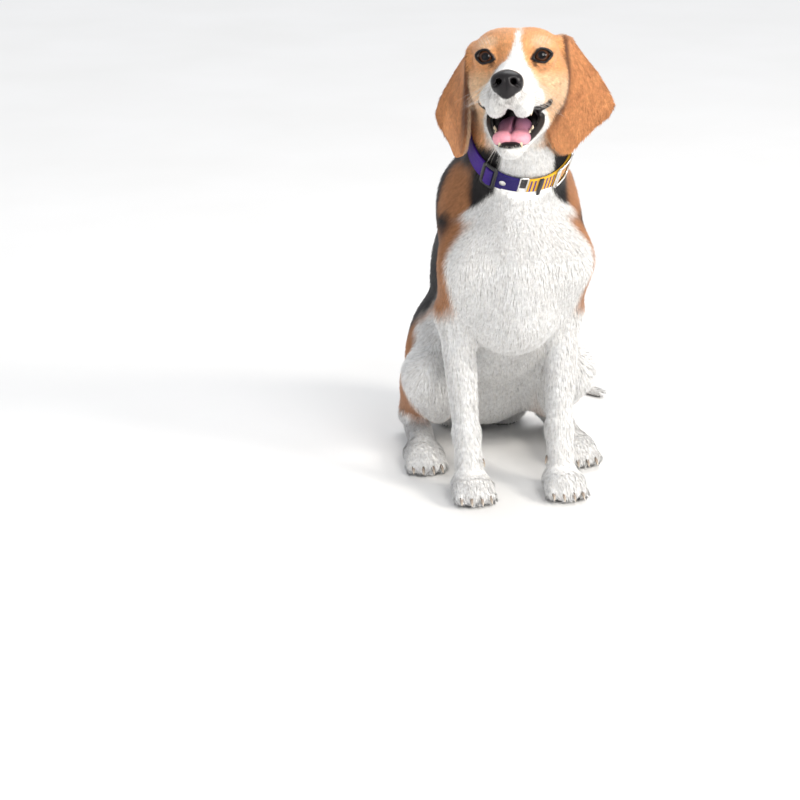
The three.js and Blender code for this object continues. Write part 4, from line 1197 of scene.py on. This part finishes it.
# collar: two lengths of webbing joined at the throat, with slides, a buckle and a rivet
webbing = {
    "pitch": 4.4,  # of the stripes
    "yellow": (0.93, 0.52, 0.04),
    "purple": (0.10, 0.03, 0.27),
    "violet": (0.062, 0.018, 0.26),
    "navy": (0.020, 0.011, 0.135),
    "weave": 0.9,  # millimetres between threads
}
# where each piece is round the neck, in degrees
fittings = {
    "bandBlue": (-262, -98.8),
    "bandStriped": (-89.2, 97),
    "slideLeft": (-138, -124),
    "slideLeftStrap": (-135.5, -126.5),
    "rivet": -115.0,
    "link": (-98.2, -89.8),
    "linkBack": (-98.6, -89.4),
    "keeper": (-78, -74),
    "buckle": (-56, -26),
    "buckleBar": -52.5,
}


def strapProfile(wide, thick, lip=0.14):
    h, t = wide / 2, thick
    rise = [(0.0, h - 0.5), (0.25, h - 0.1), (t - 0.4, h), (t, h - 0.4), (t + lip, h - 1.2), (t - 0.15, h - 2.2),
            (t, h * 0.4)]
    return [(0.0, 0.5 - h)] + rise + [(t, 0.0)] + [(out, -up) for out, up in rise[:0:-1]]


def strap(name, place, lift, thick, wide, material, slot, *nodes, sag=0.0):
    start, end = fittings[place]
    count = max(3, int(abs(end - start) / 2) + 1)  # a ring every two degrees
    turns = np.linspace(start, end, count)
    profile = np.array(strapProfile(wide, thick))
    k = len(profile)
    rises = lift + sag * np.sin(np.linspace(0, math.pi, count))
    points = np.concatenate([onCollar(np.full(k, t), rise + profile[:, 0], profile[:, 1])
                             for t, rise in zip(turns, rises)])
    faces = ringFaces(count, k)
    made = outward(meshObject(name, toFrame(points), faces, material))
    arc = onCollar(turns, lift + thick, np.zeros(count))
    along = np.concatenate([[0], np.cumsum(np.linalg.norm(np.diff(arc, axis=0), axis=1))])
    web = np.zeros((len(points), 3))
    web[:, 0], web[:, 1], web[:, 2] = np.repeat(along, k), np.tile(profile[:, 1], count), np.repeat(turns, k)
    setAttribute(made.data, "web", "FLOAT_VECTOR", web)
    finishPiece(made, slot, *nodes)
    return made


def webbingMaterial(name, striped):
    m, nt, shader = nodesOf(name)
    place = attribute(nt, "web")["Vector"]
    split = add(nt, "SeparateXYZ", {0: place})
    along, across, turnAt = split["X"], split["Y"], split["Z"]

    # plain weave: rounded threads that pass over and under each other
    def threads(way):
        return mathOf(nt, "SINE", mathOf(nt, "MULTIPLY", way, 2 * math.pi / webbing["weave"]))

    waves = mathOf(nt, "MULTIPLY", threads(along), threads(across))
    noise = add(nt, "TexNoise", {"Vector": place, "Scale": 1.6, "Detail": 3.0})["Fac"]
    if striped:
        yellow, purple = webbing["yellow"], webbing["purple"]
        moved = mathOf(nt, "ADD", along, mathOf(nt, "MULTIPLY", noise, 0.5))
        phase = mathOf(nt, "FRACT", mathOf(nt, "DIVIDE", moved, webbing["pitch"]))
        stripe = ramp(nt, phase, [(0.0, yellow), (0.54, yellow), (0.60, purple), (0.93, purple), (1.0, yellow)])
        edge = mathOf(nt, "GREATER_THAN", mathOf(nt, "ABSOLUTE", across), collar["wide"] / 2 - 1.1)
        base = add(nt, "Mix", {"Factor": edge, "A": stripe, "B": (*yellow, 1)}, data_type="RGBA")["Result"]
    else:
        shift = ranged(nt, turnAt, 0.0, 1.0, -133.0, -125.0)
        base = ramp(nt, shift, [(0.0, webbing["violet"]), (1.0, webbing["navy"])])
    # lighter on the threads' crowns and darker between them: painted shade of the weave; the noise varies the tone
    # at random
    weaveShadeAndTone = mathOf(nt, "MULTIPLY_ADD", waves, 0.16, mathOf(nt, "MULTIPLY_ADD", noise, 0.35, 0.82))
    wire(nt, shader, {
        "Base Color": scaled(nt, base, weaveShadeAndTone),
        "Normal": bumped(nt, waves, 0.6, 0.0003),
        "Roughness": 0.62,
        "Specular IOR Level": 0.25,
    })
    return m


def hardFinish(name, colour, metallic, roughness, wear):
    m, nt, shader = nodesOf(name)
    noise = noiseOn(nt, 500.0, 5.0, 0.65)
    worn = [(0.3, tuple(c * (1 - wear) for c in colour)), (0.7, tuple(min(1, c * (1 + wear)) for c in colour))]
    wire(nt, shader, {
        "Base Color": ramp(nt, noise, worn),
        "Roughness": ranged(nt, noise, roughness * 0.75, roughness * 1.3),
        "Metallic": metallic,
    })
    return m


blueWeb, stripedWeb = webbingMaterial("blue_webbing", False), webbingMaterial("striped_webbing", True)
steel = hardFinish("steel", (0.72, 0.71, 0.69), 1.0, 0.24, 0.12)
blackPlastic = hardFinish("black_plastic", (0.016, 0.016, 0.018), 0.0, 0.42, 0.25)
wide, thick, lift = collar["wide"], collar["thick"], collar["lift"]
half, top = wide / 2, lift + thick
strap("band_blue", "bandBlue", lift, thick, wide, blueWeb, "blue_webbing", "collar_band_blue")
strap("band_striped", "bandStriped", lift, thick, wide, stripedWeb, "striped_webbing", "collar_band_striped")


# a closed frame of rod over the band, its corners rounded off
def loopOn(name, place, edges, out, radius, material, slot, *nodes, squeeze=(1.0, 1.0), bars=()):
    ring = []
    start, end = fittings[place]
    below, startAbove, endAbove = edges
    corners = [(start, below), (start, startAbove), (end, endAbove), (end, below)]
    n = len(corners)
    for i, (a, h) in enumerate(corners):
        before, after = corners[i - 1], corners[(i + 1) % n]
        for t in np.linspace(0.5, 0.93, 5):
            ring.append((before[0] + (a - before[0]) * t, before[1] + (h - before[1]) * t))
        for t in np.linspace(0.07, 0.45, 4):
            ring.append((a + (after[0] - a) * t, h + (after[1] - h) * t))
    ring = np.array(ring)
    path = onCollar(ring[:, 0], np.full(len(ring), out), ring[:, 1])
    middleAt = path.mean(0)
    parts = [tube(path, radius, 10, squeeze, closed=True, up=unit(middleAt - collarAt))]
    for (a0, h0), (a1, h1) in bars:
        t = np.linspace(0, 1, 7)
        path = onCollar(a0 + (a1 - a0) * t, np.full(7, out), h0 + (h1 - h0) * t)
        parts.append(tube(path, radius, 10, squeeze, up=unit(middleAt - collarAt)))
    points, faces = joined(parts)
    made = outward(meshObject(name, toFrame(points), faces, material))
    finishPiece(made, slot, *nodes)
    return made


loopOn("slide_left", "slideLeft", (-half - 2.4, half + 2.4, half + 2.4), top + 0.9, 2.2,
       blackPlastic, "black_plastic", "collar_slide_left", squeeze=(1.0, 0.75))
strap("slide_left_strap", "slideLeftStrap", top + 0.2, thick, wide - 1, blueWeb, "blue_webbing", sag=1.0)
strap("keeper", "keeper", top + 0.1, 1.7, wide + 3.4, blackPlastic, "black_plastic", "collar_slide_right", sag=0.3)
loopOn("link", "link", (-half - 2, half + 2, half + 2), lift + thick * 0.6, 1.15, steel, "steel", "collar_link")
strap("link_back", "linkBack", lift - 0.8, 1.5, wide - 3, blackPlastic, "black_plastic")
bar = fittings["buckleBar"]
loopOn("buckle", "buckle", (-half - 2, half + 3, half + 4), top + 1.5, 1.3, steel, "steel", "collar_buckle",
       bars=[((bar, -half - 2), (bar, half + 3))])
rivetAt = onCollar(fittings["rivet"], top, 0.0)
rivetWay = unit(rivetAt - collarAt)
rivetRadii = [(0.0, 3.6), (0.5, 3.7), (0.9, 3.4), (1.2, 2.4), (1.1, 1.6), (1.5, 1.0), (1.6, 0.05)]
rivetPath = np.array([rivetAt + rivetWay * z for z, _ in [(-0.6, 0)] + rivetRadii])
points, faces = tube(rivetPath, [3.2] + [r for _, r in rivetRadii], 24, up=collarUp)
finishPiece(outward(meshObject("rivet", toFrame(points), faces, steel)), "steel", "collar_rivet")
stage("collar fitted")


# whiskers: fine solid hairs on the muzzle, the chin and over the eyes
whiskers = {"radius": 0.16, "side": 22, "chin": 8, "brow": 4}


# each: root, way and length, in the head's own frame
def whiskerRoots():
    roots = []
    for side in (1, -1):
        for i in range(whiskers["side"]):
            row, place = i % 4, (i // 4) / 5
            root = ((9 + 9 * place + 2 * row) * side, -96 + 34 * place, -26 - 5.2 * row)
            roots.append((root, (side * 1.0, 0.55 + 0.5 * place, -0.35 + 0.12 * row), 24 + 15 * place))
        for i in range(whiskers["chin"]):
            roots.append((((4 + 2.2 * i * 0.8) * side, -92 + 5.0 * i, -84), (0.6 * side, -0.1, -1.0), 15))
        for i in range(whiskers["brow"]):
            roots.append((((24 + 4 * i) * side, -46 + 2 * i, 24), (side * 0.5, -0.15, 1.0), 15))
    return roots


hairs = []
for root, way, long in whiskerRoots():
    way = unit(np.array(way, float) + dice.normal(0, 0.12, 3)) @ headTurn.T
    start = pulled(dogField, fromHead(np.array([root], float)), 9, 0.0, 6.0)
    u = np.linspace(0, 1, 7)
    droop = np.array([0, 0.25, -0.45]) * dice.uniform(0.5, 1.3)
    long = long * dice.uniform(0.75, 1.2)
    path = start + way * (u * long)[:, None] + droop * (long * u ** 2)[:, None] * 0.55
    hairs.append(tube(path - way * 1.5, whiskers["radius"] * (1 - 0.85 * u), 4))
points, faces = joined(hairs)
whiskerMaterial, nt, shader = nodesOf("whisker")
pale = [(0.3, (0.55, 0.48, 0.40)), (0.7, (0.85, 0.82, 0.78))]
wire(nt, shader, {"Base Color": ramp(nt, noiseOn(nt, 60.0), pale), "Roughness": 0.45})
finishPiece(outward(meshObject("whiskers", toFrame(points), faces, whiskerMaterial)), "coat")
stage("whiskers set")


# floor, lights and camera
studio = {
    "lens": 100.0,
    "azimuth": -8.0,
    "elevation": 19.0,
    "distance": 2.22,
    "faceAt": (0.285, 0.8575),  # right of and above the middle, as shares of half the frame
    "backdrop": ((0.94, 0.96, 1.0, 1), 0.66),
    "lampsAim": (0, -0.1, 0.38),
    # place, size, power, colour
    "lamps": {
        "key": ((2.0, -1.5, 1.6), 0.9, 50, (1.0, 0.95, 0.88)),
        "fill": ((-1.8, -1.9, 1.4), 1.6, 4, (0.92, 0.96, 1.0)),
        "catch": ((0.40, -1.70, 1.65), 0.9, 20, (1.0, 0.98, 0.95)),
    },
    "sky": {"strength": 1.2, "soft": 40, "turn": (-32, 14, 0)},  # in degrees
}
ground = meshObject("floor", [(-30, -30, 0), (30, -30, 0), (30, 30, 0), (-30, 30, 0)], [(0, 1, 2, 3)])
floorMaterial, nt, shader = nodesOf("floor")
pale = [(0.3, (0.84, 0.835, 0.82)), (0.7, (0.87, 0.865, 0.855))]
wire(nt, shader, {"Base Color": ramp(nt, noiseOn(nt, 3.0, 4.0), pale), "Roughness": 0.85})
ground.data.materials.append(floorMaterial)
world = bpy.data.worlds.new("studio")
bpy.context.scene.world = world
world.use_nodes = True
for socket, value in zip(world.node_tree.nodes["Background"].inputs, studio["backdrop"]):
    socket.default_value = value
bpy.context.scene.view_settings.view_transform = "Standard"


def lamp(name, at, size, power, colour):
    light = bpy.data.lights.new(name, "AREA")
    light.shape = "DISK"
    light.size, light.energy, light.color = size, power, colour
    made = bpy.data.objects.new(name, light)
    bpy.context.scene.collection.objects.link(made)
    made.location = at
    made.rotation_mode = "QUATERNION"
    made.rotation_quaternion = (Vector(studio["lampsAim"]) - Vector(at)).to_track_quat("-Z", "Y")


for name, settings in studio["lamps"].items():
    lamp(name, *settings)
sky = bpy.data.objects.new("sky", bpy.data.lights.new("sky", "SUN"))
sky.data.energy, sky.data.angle = studio["sky"]["strength"], math.radians(studio["sky"]["soft"])
sky.rotation_euler = [math.radians(v) for v in studio["sky"]["turn"]]
bpy.context.scene.collection.objects.link(sky)


def aim():
    face = Vector(toFrame(fromHead(np.array([[0, -38.0, 8.0]])))[0])
    half = 18 / studio["lens"]
    a, e = math.radians(studio["azimuth"]), math.radians(studio["elevation"])
    back = Vector((math.sin(a) * math.cos(e), -math.cos(a) * math.cos(e), math.sin(e)))
    quat = (-back).to_track_quat("-Z", "Y")
    right, up = quat @ Vector((1, 0, 0)), quat @ Vector((0, 1, 0))
    sx, sy = (v * half for v in studio["faceAt"])
    camera = bpy.data.objects.new("camera", bpy.data.cameras.new("camera"))
    camera.data.lens, camera.data.sensor_width = studio["lens"], 36
    camera.location = face - (right * sx + up * sy - back) * studio["distance"]
    camera.rotation_mode = "QUATERNION"
    camera.rotation_quaternion = quat
    bpy.context.scene.collection.objects.link(camera)
    bpy.context.scene.camera = camera


aim()
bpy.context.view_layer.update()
stage("done")
